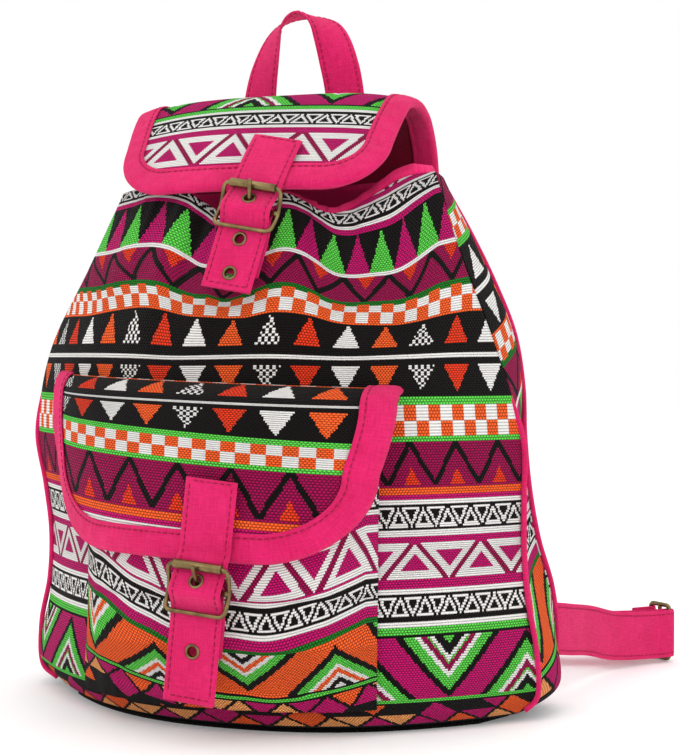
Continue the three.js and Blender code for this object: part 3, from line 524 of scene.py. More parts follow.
def piece(name, grid, cloth, material, nodes=(), body="bag", around=False, loop=False, cut=()):
    """A solid over a grid of points, with the place of each on the flat cloth. around joins the
    last column to the first, loop the last row to the first, and a grid that goes around but
    doesn't loop is closed at its ends."""
    rows, columns = grid.shape[:2]
    if around and not loop:
        ends = [grid[i].mean(axis=0, keepdims=True).repeat(columns, 0)[None] for i in (0, -1)]
        grid = np.concatenate([ends[0], grid, ends[1]])
        cloth = np.concatenate([cloth[:1], cloth, cloth[-1:]])
        rows += 2
    runs = np.arange(rows if loop else rows - 1), np.arange(columns if around else columns - 1)
    i, j = np.meshgrid(*runs, indexing="ij")
    corners = [(i, j), (i, j + 1), (i + 1, j + 1), (i + 1, j)]
    faces = np.stack([(a % rows) * columns + b % columns for a, b in corners], axis=-1).reshape(-1, 4)
    last, end = len(cloth) - 1, cloth.shape[1] - 1
    keys = np.stack([cloth[np.minimum(a, last), np.minimum(b, end)] for a, b in corners], axis=2)
    return solid(name, grid.reshape(-1, 3), faces, keys.reshape(-1, 4, 2), material, nodes, body, cut)


def sheet(name, outer, inner, cloth, material, nodes=()):
    """A closed cloth piece between an outer and an inner grid, with its edges folded together."""
    grid = np.concatenate([outer, inner[:, ::-1]], axis=1)
    both = np.concatenate([cloth, cloth[:, ::-1]], axis=1)
    middle = (outer + inner) / 2
    ends = [np.concatenate([middle[i], middle[i, ::-1]])[None] for i in (0, -1)]
    grid = np.concatenate([ends[0], grid, ends[1]])
    both = np.concatenate([both[:1], both, both[-1:]])
    rows, columns = grid.shape[:2]
    closing = np.concatenate([both, both[:, :1]], axis=1)
    closed = np.concatenate([grid, grid[:, :1]], axis=1)
    return piece(name, closed, closing, material, nodes)


BODY_HEIGHT = 290
BELLY = 146  # half the width between the front seams, at the widest
PANEL = 2.2
GAP = 0.35  # between layers of cloth
FOLDS = 7
FOLD_DEPTH = 2.2

SHARES = [0, 0.05, 0.12, 0.25, 0.4, 0.55, 0.7, 0.85, 1]
HEIGHTS = [2.3, 6, 19, 58, 103, 151, 198, 246, BODY_HEIGHT]


def profile(*changes):
    """A half width of the body by the share of the way up, as changes to the belly."""
    return graph([(k, BELLY + change) for k, change in zip(SHARES, changes)])


height_at = graph(list(zip(SHARES, HEIGHTS)))
share_at = graph(list(zip(HEIGHTS, SHARES)))
right_seam = profile(-12, -1, 7, 1, -2, -2, -16, -35, -49)
left_seam = profile(-22, -12, 2, -6, -8, 1, -7, -33, -57)
back_half = profile(-18, -5, 3, 3, -8, -13, -16, -34, -57)
seam_depth = graph([(0, 6), (0.12, 2), (0.4, 4), (0.7, 4), (1, 8)])
front_bow = graph([(0, 66), (0.05, 76), (0.12, 82), (0.4, 80), (0.6, 76), (0.8, 64), (1, 44)])
back_depth = graph([(0, 40), (0.12, 50), (0.4, 46), (0.7, 42), (1, 34)])
back_bow = graph([(0, 4), (0.12, 8), (0.4, 8), (0.7, 6), (1, 3)])
side_bow = graph([(0, 2), (0.12, 8), (0.3, -3), (0.5, -3), (0.7, 5), (1, 3)])
mouth_droop = graph([
    (0, -2), (0.2, -2), (0.32, -7), (0.42, -17), (0.5, -14), (0.62, -9), (0.755, -20), (0.85, -11),
    (0.93, 0), (1, 4),
])


def front(t, k):
    """t runs from the left seam to the right and k from the base to the mouth. Each row bows ahead
    of its seams by 1 less a power of the distance from its middle. Towards the mouth a sine of
    seven gathers and a finer pucker are added, and the row droops."""
    s = 2 * t - 1
    gather = ease((k - 0.62) / 0.38)
    pleat = FOLD_DEPTH * gather * np.sin(2 * np.pi * FOLDS * t)
    pucker = 0.7 * ease((k - 0.78) / 0.2) * np.sin(2 * np.pi * (23 * t + 0.4 * np.sin(9 * t)))
    bow = front_bow(k) * (1 - np.abs(s) ** 2.3)
    x = mix(-left_seam(k), right_seam(k), t)
    y = -(seam_depth(k) + bow + (pleat + pucker) * (1 - s * s))
    return points(x, y, height_at(k) + mouth_droop(t) * gather)


def back(t, k):
    """Each row bows behind its seams as a parabola; t runs from the bag's right to its left."""
    s = 2 * t - 1
    return points(-s * back_half(k), back_depth(k) + back_bow(k) * (1 - s * s), height_at(k))


def side(sign):
    """The gusset between the front and back seams, bowed outwards or pinched by side_bow."""

    def place(t, k):
        inward = t if sign > 0 else 1 - t
        near = front(1.0 if sign > 0 else 0.0, k)
        far = back(0.0 if sign > 0 else 1.0, k)
        found = mix(near, far, np.asarray(inward)[..., None])
        found[..., 0] += sign * side_bow(k) * np.sin(np.pi * inward)
        return found

    return place


def across_from_middle(grid):
    """The distance along each row of a grid from its middle column, negative to the left."""
    length = np.cumsum(np.linalg.norm(np.diff(grid, axis=1), axis=2), axis=1)
    length = np.concatenate([0 * length[:, :1], length], axis=1)
    return length - length[:, grid.shape[1] // 2, None]


def panel(name, surface, trim, columns, rows, roll):
    """A body panel: roll gives its place on the roll of cloth from the distance across the panel
    and the height."""
    t, k = np.meshgrid(np.linspace(trim, 1 - trim, columns), np.linspace(0.001, 0.999, rows))
    outer = lifted(surface, t, k, 0 * t)
    inner = lifted(surface, t, k, 0 * t - PANEL)
    cloth = np.stack(roll(across_from_middle(outer), height_at(k)), axis=-1)
    sheet(name, outer, inner, cloth, jacquard, [name])


# How far down the roll the cloth is at each height, and how the drawn mouth shifts it by the
# distance across the front: lean for the bands below the mouth, tuck for those beside it.
down_roll = graph([
    (0, 335), (3.8, 324.3), (18.4, 296.3), (49.7, 260.3), (80, 231.2), (98, 207.2), (118, 184.7),
    (152, 150.5), (173, 133.1), (196.6, 107.6), (217, 87.6), (234, 70), (256, 45.5), (280, 19.5),
    (290, 0),
])
lean = graph([
    (-130, 0), (-95, 0), (-35, 6), (15, 0), (32, 3), (51, 3.5), (66, 0), (82, -3), (97, -6),
    (110, -5), (125, -2), (140, 0),
])
tuck = graph([
    (-140, 0), (-8, -4), (4, -14), (16, -4), (28, 0), (40, 1.5), (50, 0), (59, -4), (70, -6),
    (88, -7), (105, -5), (122, 0),
])


def front_roll(u, z):
    """The height gives the place down the roll, and lean and tuck are added to it near the mouth.
    On the left the distance across shrinks there too, where the cloth is gathered."""
    pulled = lean(u) * ease((z - 195) / 30) + tuck(u) * ease((z - 220) / 24)
    drawn = np.where(u < 0, 1 - 0.32 * ease((z - 215) / 40), 1)
    return u * drawn, down_roll(z) + pulled


def back_roll(u, z):
    """The height alone gives the place down the roll."""
    return u, down_roll(z)


def side_roll(sign):
    """The gussets are cut the other way up the roll, and their bands rise towards the back."""
    return lambda u, z: (u, 131 - (258 - z) * 1.03 - 0.45 * sign * u)


panel("front_panel", front, 0.0, 211, 225, front_roll)
panel("back_panel", back, 0.0, 121, 160, back_roll)
panel("side_gusset_right", side(1), 0.02, 41, 240, side_roll(1))
panel("side_gusset_left", side(-1), 0.02, 41, 240, side_roll(-1))


# Pink canvas: a plain weave of slubby cotton, about two threads to the millimetre. Its colour mixes a
# lit pink with a painted-shade copy: painted highlight where the raised threads and slubs catch the
# light, and large soft blotches of painted shade.
PINK = linear(253, 50, 124)
SHADED_PINK = linear(212, 20, 88)


def canvas_cloth(name, slot, bright, dark, thread=0.55):
    """Threads a pitch apart go over and under by turns; long soft noise makes their slubs."""
    f = Finish(name, slot, 0.85, sheen=0.1)
    u, v = f.cloth()
    over = (u / thread).wave(1) * 2
    under = (v / thread).wave(1) * 2
    step = ((u / thread + 0.5).floor() + (v / thread + 0.5).floor() + EVEN).math("MODULO", 2.0)
    height = over * step + under * step.flipped()
    slub = f.noise(1.0, 3.0, (0.12, 1.6, 1), True) * 0.5 + f.noise(1.0, 3.0, (1.6, 0.12, 1), True) * 0.5
    blotches = f.noise(45, 3.0)
    # the share moves the colour between the lit cloth and its painted-shade copy: painted highlight on the
    # raised threads and slubs, and large soft blotches of painted shade
    share = (height * 0.5 + slub * 1.9 + (blotches - 0.5) * 0.7).math("SUBTRACT", 0.72)
    return f.done(f.mix(share.math("MINIMUM", 1.0), dark, bright), height * 0.6 + slub * 1.6, 0.00034)


canvas = canvas_cloth("canvas", "pink_canvas", PINK, SHADED_PINK)
lining = canvas_cloth("lining", "lining_cloth", linear(170, 14, 62), linear(120, 8, 40), 0.4)
# the thread is the canvas's pink painted darker, as painted shade on the stitches sunk in the cloth
thread = canvas_cloth("thread", "pink_canvas", linear(225, 30, 100), linear(150, 8, 55), 0.3)

# The thin cotton lining stands inside the panels and is caught in their seams. A strip of canvas,
# folded over its upper edge, finishes the mouth.
LINING = 0.8
INSET = PANEL + GAP
HEM = 1.8
GIRTH = 700  # round the inside of the bag
# Each wall in turn: the share left free at its seams, the share cut off its corners, as one part
# of so many, and the steps across it.
WALLS = [(front, 0.004, 28, 112), (side(1), 0.065, 4, 12), (back, 0.006, 8, 60), (side(-1), 0.065, 4, 12)]


def around_inside(k, inset):
    """Rings round the inside of the body at shares k of its height, with the corners cut off."""
    runs = []
    for surface, trim, count, steps in WALLS:
        t = np.linspace(mix(trim, 1 - trim, 1 / count), mix(trim, 1 - trim, 1 - 1 / count), steps)
        t, rows = np.meshgrid(t, k)
        runs.append(lifted(surface, t, np.clip(rows, 0.001, 0.999), 0 * t - inset))
    return np.concatenate(runs, axis=1)


def ringed(name, outer, inner, material, nodes):
    """A closed band round the inside of the bag, between two sets of rings."""
    wall = np.concatenate([outer, inner[::-1]])
    along = np.linspace(0, GIRTH, wall.shape[1] + 1)
    up = np.concatenate([[0], np.cumsum(np.linalg.norm(np.diff(wall[:, 0], axis=0), axis=1))])
    cloth = np.stack(np.meshgrid(along, np.append(up, up[-1])), axis=-1)
    return piece(name, wall, cloth, material, nodes, around=True, loop=True)


rows = np.linspace(2 / 11, 10 / 11, 60)
ringed("lining", around_inside(rows, INSET), around_inside(rows, INSET + LINING), lining, ["lining"])
rows = np.linspace(10 / 11 + 0.008, 0.999, 12)
hem_rise = graph([(-BELLY, 1), (0, 1), (BELLY - 49, 7), (BELLY, 7)])  # it shows most at the right


def hem_rings(inset):
    """Rings up to the mouth, and one more that carries their slope on by the hem's rise."""
    rings = around_inside(rows, inset)
    slope = unit(rings[-1] - rings[0])
    return np.concatenate([rings, (rings[-1] + slope * hem_rise(rings[-1][:, 0])[:, None])[None]])


ringed("mouth_hem", hem_rings(INSET), hem_rings(INSET + HEM), canvas, ["mouth_hem"])

# The flat base is a jacquard panel of the plain black part of the cloth, sewn inside the lower
# edges of the others.
BASE = 1.6
PLAIN = 326.5  # a black place on the roll
outline = around_inside(np.array([0.0]), 0.0)[0][:, :2]
shrink = np.linspace(0.02, 1, 30)[:, None, None]
middle = outline.mean(axis=0)
spread = middle + (outline - middle) * shrink
upper = points(spread[..., 0], spread[..., 1], BASE)
lower = points(spread[..., 0], spread[..., 1], 0)
grid = np.concatenate([lower, upper[::-1]])
flat = np.concatenate([grid, grid[:, :1]], axis=1)
cloth = np.stack([flat[..., 0], PLAIN + 0 * flat[..., 1]], axis=-1)
cloth = np.concatenate([cloth, cloth[:1]])
piece("base_panel", grid, cloth, jacquard, ["base_panel"], around=True, loop=True)

# Round piping, a cord in a bias strip of canvas, is sewn into the four upright seams of the
# gussets. In front it sinks into the seam on its way up.
PIPING = 1.5


def curve(knots, keys):
    """Places on a smooth curve through knots, at keys that count them from 0. Its slopes ease by
    the square roots of the distances between the knots."""
    knots = np.array(knots, float)
    knots = np.vstack([2 * knots[0] - knots[1], knots, 2 * knots[-1] - knots[-2]])
    i = np.clip(np.floor(keys).astype(int), 0, len(knots) - 4)
    s = (keys - i)[:, None]
    a, b, c, d = (knots[i + n] for n in range(4))
    f, g, h = (np.sqrt(np.linalg.norm(q - p, axis=1))[:, None] for p, q in ((a, b), (b, c), (c, d)))
    leave = g * ((b - a) / f - (c - a) / (f + g)) + c - b
    arrive = c - b - g * ((d - b) / (g + h) - (d - c) / h)
    cubic = s * s * (3 * (c - b) - 2 * leave - arrive) + s**3 * (2 * (b - c) + leave + arrive)
    return b + s * leave + cubic


def stations(knots, spacing, wide):
    """Even places along a curve through knots, with the directions across and out of a strap;
    wide gives the direction of its width by the share of the way along."""
    runs = len(knots) - 1
    fine = np.linspace(0, runs, runs * 60 + 1)
    line = curve(knots, fine)
    length = np.concatenate([[0], np.cumsum(np.linalg.norm(np.diff(line, axis=0), axis=1))])
    even = np.linspace(0, length[-1], max(2, int(length[-1] / spacing)))
    keys = np.interp(even, length, fine)
    at = curve(knots, keys)
    ahead = unit(np.gradient(at, even, axis=0))
    across = wide(keys / runs)
    across = unit(across - (across * ahead).sum(1, keepdims=True) * ahead)
    return at, across, np.cross(across, ahead), even


def keeping(direction):
    """A width that points the same way all along a strap."""
    return lambda share: points(*(n + 0 * share for n in direction))


def swept(name, section, line, material, nodes=(), body="bag", loop=False, cut=(), place=None):
    """A section of (across, out) points carried along stations, with the cloth's keys on it."""
    at, across, out, even = line
    a, b = (np.asarray(section, float)[..., n] for n in (0, 1))
    if a.ndim == 1:
        a, b = np.tile(a, (len(at), 1)), np.tile(b, (len(at), 1))
    grid = at[:, None] + across[:, None] * a[..., None] + out[:, None] * b[..., None]
    if place is not None:
        grid = placed(grid, place)
    girth = np.hypot(np.diff(a[0], append=a[0, 0]), np.diff(b[0], append=b[0, 0]))
    round_it = np.concatenate([[0], np.cumsum(girth)])
    lengths = np.append(even, even[-1] + 1) if loop else even
    cloth = np.stack(np.meshgrid(round_it, lengths), axis=-1)
    return piece(name, grid, cloth, material, nodes, body, around=True, loop=loop, cut=cut)


def disc(radius, sides=14):
    """A round section."""
    angle = np.linspace(0, 2 * np.pi, sides, endpoint=False)
    return np.stack([radius * np.cos(angle), radius * np.sin(angle)], axis=-1)


def placed(grid, place):
    """Points read in a buckle's own frame, moved to the bag's: place is (rotation, origin)."""
    return grid @ place[0].T + place[1]


piped = np.concatenate([[0.05], np.arange(1, 11) / 11, [0.985]])


def outward(surface, t):
    """The direction out of a wall at share t of its width, all the way up."""
    t = t + 0 * piped
    return lifted(surface, t, piped, 1 + 0 * piped) - surface(t, piped)


for name, sign in (("right", 1), ("left", -1)):
    t = 1.0 if sign > 0 else 0.0
    seams = (("front", front, t, 0.04 + 0.92 * t), ("back", back, 1 - t, 0.96 - 0.92 * t))
    for where, surface, seam, within in seams:
        away = outward(surface, within) + outward(side(sign), 0.5)
        away[:, 2] = np.maximum(away[:, 2], 0)
        deep = 1.1 - 3.0 * ease((piped - 0.52) / 0.12) * (where == "front")
        line = surface(seam + 0 * piped, piped) + unit(away) * deep[:, None]
        line = stations(line, 2.5, keeping((0, 1, 0)))
        swept(f"{where}_piping_{name}", disc(PIPING), line, canvas, [f"{where}_piping_{name}"])

# The front pocket is a pouch of the same jacquard, folded in at its sides and puckered along its
# lower edge, where it is sewn to the front panel.
POCKET_HALF = 84
POCKET_BOTTOM = 14
POCKET_TOP = 166
POCKET_DEPTH = 20
POCKET_CLOTH = 2


def front_reach(x, z):
    """The front panel's distance ahead of the middle of the bag, without its gathers: its seams'
    depth, and its bow by 1 less a power of the distance from its middle."""
    k = share_at(z)
    s = np.clip(2 * (x + left_seam(k)) / (left_seam(k) + right_seam(k)) - 1, -1, 1)
    return seam_depth(k) + front_bow(k) * (1 - np.abs(s) ** 2.3)


def pocket_lift(x, z):
    """How far the pocket stands off the front panel: 1 less the sixth power of the distance from
    its middle, and a fifth of that at its foot."""
    rise = ease((z - POCKET_BOTTOM + 4) / 46)
    return 1 + POCKET_DEPTH * np.maximum(0, 1 - np.abs(x / POCKET_HALF) ** 6) * mix(0.2, 1, rise)


def pocket(u, v):
    """The front panel's reach and the pocket's lift, with a puckered foot, a sine whose own phase
    waves, and two upright folds that are bell curves across it."""
    x = mix(-POCKET_HALF, POCKET_HALF, u)
    z = mix(POCKET_BOTTOM, POCKET_TOP, v)
    gather = ease((62 - z) / 46) * (0.5 + 0.5 * np.sin(x / 2.3 + 1.7 * np.sin(x / 9)))
    fold = np.exp(-(((x - 66) / 4) ** 2)) + np.exp(-(((x + 58 + z / 12) / 5) ** 2))
    y = front_reach(x, z) + pocket_lift(x, z) + POCKET_CLOTH + 0.9 * gather + 1.2 * fold
    return points(x, -y, z)


# The pouch was cut the other way up the roll, and its bands sag to the left and right.
PHASE = 50.5  # its middle's place across the roll
pocket_roll = graph([
    (14, -112), (21.6, -99.7), (25, -96), (47, -60), (49.7, -57.5), (55.6, -52.5), (59, -49),
    (71, -37.5), (74, -33), (98, -9), (166, 60),
])
t, v = np.meshgrid(np.linspace(0, 1, 240), np.linspace(0.001, 0.999, 160))
t = mix(t, 0.5 - 0.5 * np.cos(np.pi * t), 0.5)
outer = lifted(pocket, t, v, 0 * t)
sag = graph([
    (-96, -24), (-65, -20), (-53, -16), (-38, -9), (-25, -5), (-10, 0), (20, 2), (40, 3), (65, -3),
    (92, -11),
])
across = across_from_middle(outer)
cloth = np.stack([across + PHASE, pocket_roll(outer[..., 2]) + sag(across)], axis=-1)
sheet("pocket_body", outer, lifted(pocket, t, v, 0 * t - POCKET_CLOTH), cloth, jacquard, ["pocket_body"])

# Both flaps are jacquard over a thin lining, bound along their edge with a folded strip of
# canvas that one row of stitches holds.
FLAP_CLOTH = 1.4
FLAP_LINING = 0.8
BINDING = 0.9
BINDING_WIDTH = 15
LAYERS = FLAP_CLOTH + FLAP_LINING + GAP
LEG_GAP = 0.75
FLAP_FACE = LAYERS / 2 + LEG_GAP + BINDING
CLOTH_INSET = 3
BOUND_ROW = 12.6  # the stitches' distance in from the edge


def resampled(line, even):
    """A dense line of points, or a row of directions along it, read at even distances."""
    length = np.concatenate([[0], np.cumsum(np.linalg.norm(np.diff(line[0], axis=0), axis=1))])
    return [
        np.stack([np.interp(even, length, part[:, n]) for n in range(part.shape[1])], -1) for part in line
    ]


def sewn(name, rows, body="bag", pitch=3.6, long=2.5, thick=0.38):
    """Rows of stitches as beads of thread, half sunk in the cloth. Each row is a line of points
    and the directions out of the cloth along it."""
    found = []
    for line, outward in rows:
        reach = np.linalg.norm(np.diff(line, axis=0), axis=1).sum()
        even = np.arange(pitch / 2, reach, pitch)
        at, out = resampled((line, outward), even)
        ahead = unit(resampled((line,), even + 0.4)[0] - resampled((line,), even - 0.4)[0])
        found.append((at, ahead, unit(out)))
    at, ahead, out = (np.concatenate(parts)[:, None, None] for parts in zip(*found))
    turn = np.linspace(0, 2 * np.pi, 6, endpoint=False)
    girth = np.array([0.35, 0.9, 1.0, 0.9, 0.35])[:, None] * thick
    reach = np.array([-0.5, -0.38, 0, 0.38, 0.5])[:, None] * long
    beads = at + ahead * (reach + 0 * turn)[..., None] + out * (girth * np.sin(turn))[..., None]
    beads = beads + np.cross(out, ahead) * (girth * np.cos(turn))[..., None]
    i, j = np.meshgrid(np.arange(4), np.arange(6), indexing="ij")
    quads = np.stack([i * 6 + j, i * 6 + (j + 1) % 6, (i + 1) * 6 + (j + 1) % 6, (i + 1) * 6 + j], -1)
    ends = np.array([[3, 2, 1, 0], [5, 4, 3, 0], [24, 25, 26, 27], [24, 27, 28, 29]])
    quads = np.concatenate([quads.reshape(-1, 4), ends])
    faces = (np.arange(len(at))[:, None, None] * 30 + quads).reshape(-1, 4)
    keys = np.stack([(faces % 6) * 0.4, (faces // 6) * 0.6], axis=-1)
    return solid(name, beads.reshape(-1, 3), faces, keys, thread, (), body)


class Flap:
    """Cloth cut flat with rounded lower corners and laid over a surface. Its keys are the
    millimetres across, s, and down from its seam, t; roll gives its place on the roll."""

    def __init__(self, name, length, corner, half, surface, roll):
        self.name = name
        self.length = length
        self.corner = corner
        self.half = half
        self.surface = surface
        self.roll = roll

    def wide(self, t):
        """Half the width of the cut at a distance down the cloth."""
        straight = self.length - self.corner
        centre = self.half(self.length) - self.corner
        over = np.clip((t - straight) / self.corner, 0, 1)
        rounded = centre + (self.half(straight) - centre) * np.sqrt(1 - over * over)
        return np.where(t <= straight, self.half(t), rounded)

    def at(self, s, t, height):
        """Points of the laid cloth at a height off the middle of its layers."""
        return lifted(lambda a, b: self.surface(a, -b), s, -t, height, 0.5)

    def layer(self, name, low, high, material):
        """A sheet of cloth between two heights off the middle of the layers."""
        straight = self.length - self.corner
        lowest = self.length - CLOTH_INSET
        turn = np.sin(np.linspace(0, np.pi / 2, 40))
        t = np.concatenate([np.linspace(0.6, straight, 60), straight + (lowest - straight) * turn[1:]])[::-1]
        share, t = np.meshgrid(np.linspace(-1, 1, 150), t)
        s = share * (self.wide(t) - CLOTH_INSET)
        cloth = np.stack(self.roll(s, t), axis=-1)
        sheet(name, self.at(s, t, 0 * s + high), self.at(s, t, 0 * s + low), cloth, material, [name])

    def edge(self):
        """The edge of the cut at even places, and the directions inward across it."""
        straight = self.length - self.corner
        round_corner = straight + self.corner * np.sin(np.linspace(0, np.pi / 2, 60))
        t = np.concatenate([np.linspace(0, straight, 60)[:-1], round_corner])
        left = np.stack([-self.wide(t), t], axis=-1)
        line = np.concatenate([left, left[::-1] * (-1, 1)])
        reach = np.linalg.norm(np.diff(line, axis=0), axis=1).sum()
        even = np.linspace(0, reach, int(reach / 2))
        line = resampled((line,), even)[0]
        ahead = unit(np.gradient(line, axis=0))
        return line, np.stack([ahead[:, 1], -ahead[:, 0]], axis=-1), even

    def binding(self):
        """The strip's two legs, one on each face, joined round the edge of the cut. Each is given
        by its distances in from the edge and its heights off the middle of the layers."""
        line, inward, even = self.edge()
        leg = np.array([BINDING_WIDTH, 14.6, 13.6, BOUND_ROW, 11.6, 10, 8, 6, 4, 2.4, 1.2, 0.3, -0.2])
        face = np.array([-0.55, -0.2, -0.25, -0.5, -0.25, 0, 0, 0, 0, -0.1, -0.5, -1.3, -2.2]) + FLAP_FACE
        under = np.array([BINDING_WIDTH, 13, 11, 8, 5, 3, 1.8, 1.1, 0.8])
        thin = np.array([-0.25, -0.2, 0, 0, 0, 0, -0.3, -0.9, -1.8]) + FLAP_FACE - BINDING
        a = np.concatenate([leg, leg[::-1], under, under[::-1]])
        b = np.concatenate([face, -face[::-1], -thin, thin[::-1]])
        swell = 0.3 * np.sin(even / 1.9 + 2 * np.sin(even / 17))[:, None] * np.exp(-(((a - 7) / 4) ** 2))
        place = line[:, None] + inward[:, None] * a[:, None]
        grid = self.at(place[..., 0], place[..., 1], np.sign(b) * (np.abs(b) + swell))
        girth = np.hypot(np.diff(a, append=a[0]), np.diff(b, append=b[0]))
        cloth = np.stack(np.meshgrid(np.concatenate([[0], np.cumsum(girth)]), even), axis=-1)
        name = f"{self.name}_binding"
        piece(name, grid, cloth, canvas, [name], around=True)
        row = line + inward * BOUND_ROW
        proud = self.at(row[:, 0], row[:, 1], 0 * even + FLAP_FACE - 0.3)
        sewn(f"{self.name}_stitches", [(proud, proud - self.at(row[:, 0], row[:, 1], 0 * even))])

    def made(self):
        """Makes the cloth, its lining and its binding."""
        top = LAYERS / 2
        self.layer(self.name, top - FLAP_CLOTH, top, jacquard)
        self.layer(f"{self.name}_lining", -top, -top + FLAP_LINING, lining)
        self.binding()


# The pocket's flap is sewn to the front panel above the pocket. It makes a short roof out from
# its seam, turns over a crease, and drops over the pocket.
COVER_MIDDLE = -9
COVER_HALF = 102
COVER_SEAM = 180
COVER_ROOF = 27
COVER_DROP = 78
COVER_TILT = 0.035
ROOF_FALL = 9


def cover_surface(s, t):
    """The roof runs out and down by the sine and cosine of a quarter turn, and the drop is
    straight. Across, it bulges by 1 less the fourth power of the distance from its middle."""
    turn = np.pi / 2 * np.clip(t / COVER_ROOF, 0, 1)
    x = COVER_MIDDLE + s
    fall = ROOF_FALL * (1 - np.cos(turn)) + np.maximum(0, t - COVER_ROOF) + np.minimum(t, 0)
    z = COVER_SEAM - COVER_TILT * s - fall
    bulge = 7.6 + POCKET_DEPTH * np.maximum(0, 1 - np.abs(x / COVER_HALF) ** 4)
    lift = mix(FLAP_FACE + 1, bulge, np.sin(turn))
    slack = 0.5 * np.sin(s / 17 + 0.6) * np.sin(t / 23) * np.sin(turn)
    return points(x, -(front_reach(x, z) + lift + slack), z)


def cover_half(t):
    """Half its width eases to 14 mm less down the drop."""
    return COVER_HALF - 14 * ease((t - COVER_ROOF) / COVER_DROP)


down_cover = graph([
    (-8, 76), (5, 88), (25, 107.6), (27, 110.8), (28.5, 114), (42.5, 134.5), (57, 152.2), (80, 173.5),
    (112, 203),
])


def cover_roll(s, t):
    """Below the crease its bands fall a little to the right."""
    return s * 0.9 + 25, down_cover(t - 0.04 * s * ease((t - 24) / 18))


cover = Flap("pocket_flap", COVER_ROOF + COVER_DROP, 44, cover_half, cover_surface, cover_roll)
cover.made()

# The top flap is sewn to the back panel under the strap patch, climbs over the drawn mouth and
# hangs ahead of it, with its sides drooping. It was cut the other way up the roll.
FLAP_HALF = 84
FLAP_MIDDLE = 3
FLAP_SIDE = [
    (42, -6), (41, 10), (35, 28), (24, 42), (8, 48.5), (-8, 47), (-21, 38), (-35, 24), (-48, 8),
    (-59, -9),
]  # its middle seen from the side: distance behind the bag's middle, height above the mouth
side_line = curve([(0, y, BODY_HEIGHT + z) for y, z in FLAP_SIDE], np.linspace(0, 9, 1200))
side_length = np.concatenate([[0], np.cumsum(np.linalg.norm(np.diff(side_line, axis=0), axis=1))])
FLAP_REACH = side_length[-1]


def top_surface(s, t):
    """The line seen from the side is carried straight across. Its edges fall by powers of the
    distance from the middle, and its front edge tucks in. Slack is a product of three sines."""
    inside = np.clip(t, 0, FLAP_REACH)
    share = inside / FLAP_REACH
    first, last = (unit(side_line[i + 1] - side_line[i]) for i in (0, -2))
    past = t - inside
    y, z = (
        np.interp(inside, side_length, side_line[:, n]) + past * np.where(t < 0, first[n], last[n])
        for n in (1, 2)
    )
    edge = np.abs(s / FLAP_HALF)
    x = FLAP_MIDDLE + s * (1 - 0.03 * edge**4)
    z = z - 4 * edge**3.2 * mix(0.15, 1, ease(share * 2)) - 3.5 * edge**4 * np.sin(np.pi * share) ** 2
    y = y + 9 * edge**2.6 * ease((share - 0.45) * 2.2)
    slack = 0.7 * np.sin(s / 19 - 0.8) * np.sin(t / 26) * np.sin(np.pi * share)
    return points(x, y - slack, z + slack)


def top_half(t):
    """Half its width eases to 6 mm less towards the front."""
    return FLAP_HALF - 6 * ease((t - 70) / 90)


def top_roll(s, t):
    """The place across the roll follows s, and the place down it falls as t grows."""
    return s + 132.7, 187 + 1.15 * (FLAP_REACH - 1.5 - t)


flap = Flap("top_flap", FLAP_REACH - 1.5, 34, top_half, top_surface, top_roll)
flap.made()

# The buckles, eyelets and sliders are steel wire and sheet with an antique brass finish, rubbed
# bright where they wear and dark in between.
brass_finish = Finish("antique_brass", "antique_brass", 0.36, metallic=1.0)
patina = brass_finish.noise(160, 4.0)
brushed = brass_finish.noise(900, 2.0, (0.25, 1, 1))
tarnish = (patina * 1.5 - 0.25).math("MINIMUM", 1.0).math("MAXIMUM", 0.0)
brass = brass_finish.done(
    brass_finish.mix(tarnish, linear(66, 52, 34), linear(156, 136, 94)), brushed, 0.00003,
    roughness=tarnish * -0.18 + 0.46,
)

# The closing strap is doubled canvas, sewn over the top flap's binding. It runs down through the
# upper buckle, a bent wire frame with a roller and a prong, held by a fold of canvas, the chape,
# that is sewn to the front panel. Brass eyelets line its holes.
WIRE = 1.5  # radius of the bar in the chape
RIM_WIRE = 1.15
ROLLER_BAR = 12  # above the bar in the chape
KEEPER_BAR = 11.5  # below it
BUCKLE_HALF = 16.2
ROLLER_RADIUS = 3
ROLLER_THIN = 0.6
ROLLER_LENGTH = 26
RUNNING = 0.3
PRONG_RADIUS = 1.15
PRONG_LENGTH = 17
EYE_RADIUS = 2.65
EYE_WIRE = 0.8
EYELET_BORE = 2.6
EYELET_FLANGE = 4.0
EYELET_METAL = 0.5
CANVAS = 1.8
CLOSING_WIDTH = 28
SEWN_IN = 2.6  # a row of stitches runs this far in from an edge
BAR_Y = 2.5  # the chape's bar is this far behind the strap
ROLLER_Y = 1.5
STRAP_Y = 3.3
STANDOFF = 10.5
CHAPE = 1.4
CHAPE_WIDTH = 25.5
CHAPE_LENGTH = 34
STRAP_SLOPE = 0.55
PRONG_LEAN = math.atan2(ROLLER_Y + BAR_Y, ROLLER_BAR) + math.asin(
    (ROLLER_RADIUS + RUNNING + PRONG_RADIUS) / math.hypot(ROLLER_BAR, ROLLER_Y + BAR_Y)
)
CROSSING = (STRAP_Y + BAR_Y) / (math.tan(PRONG_LEAN) + STRAP_SLOPE)
TAIL_Y = -2.3
bar_depth = graph([(-KEEPER_BAR, 1), (0, -BAR_Y), (ROLLER_BAR, ROLLER_Y)])
X_AXIS = np.array([1.0, 0, 0])


def frame_at(origin, up):
    """The frame of a buckle: x across its strap, y out of the bag, z up the strap."""
    z = unit(np.array(up, float))
    y = unit(z * z[1] - (0, 1, 0))
    return np.stack([np.cross(y, z), y, z], axis=1), np.array(origin, float)


def round_stations(line, out):
    """Stations of a closed line of points whose wire keeps one direction out."""
    ahead = unit(np.roll(line, -1, axis=0) - np.roll(line, 1, axis=0))
    across = unit(np.cross(ahead, out))
    return line, across, np.cross(across, ahead), np.arange(len(line)) * 1.0


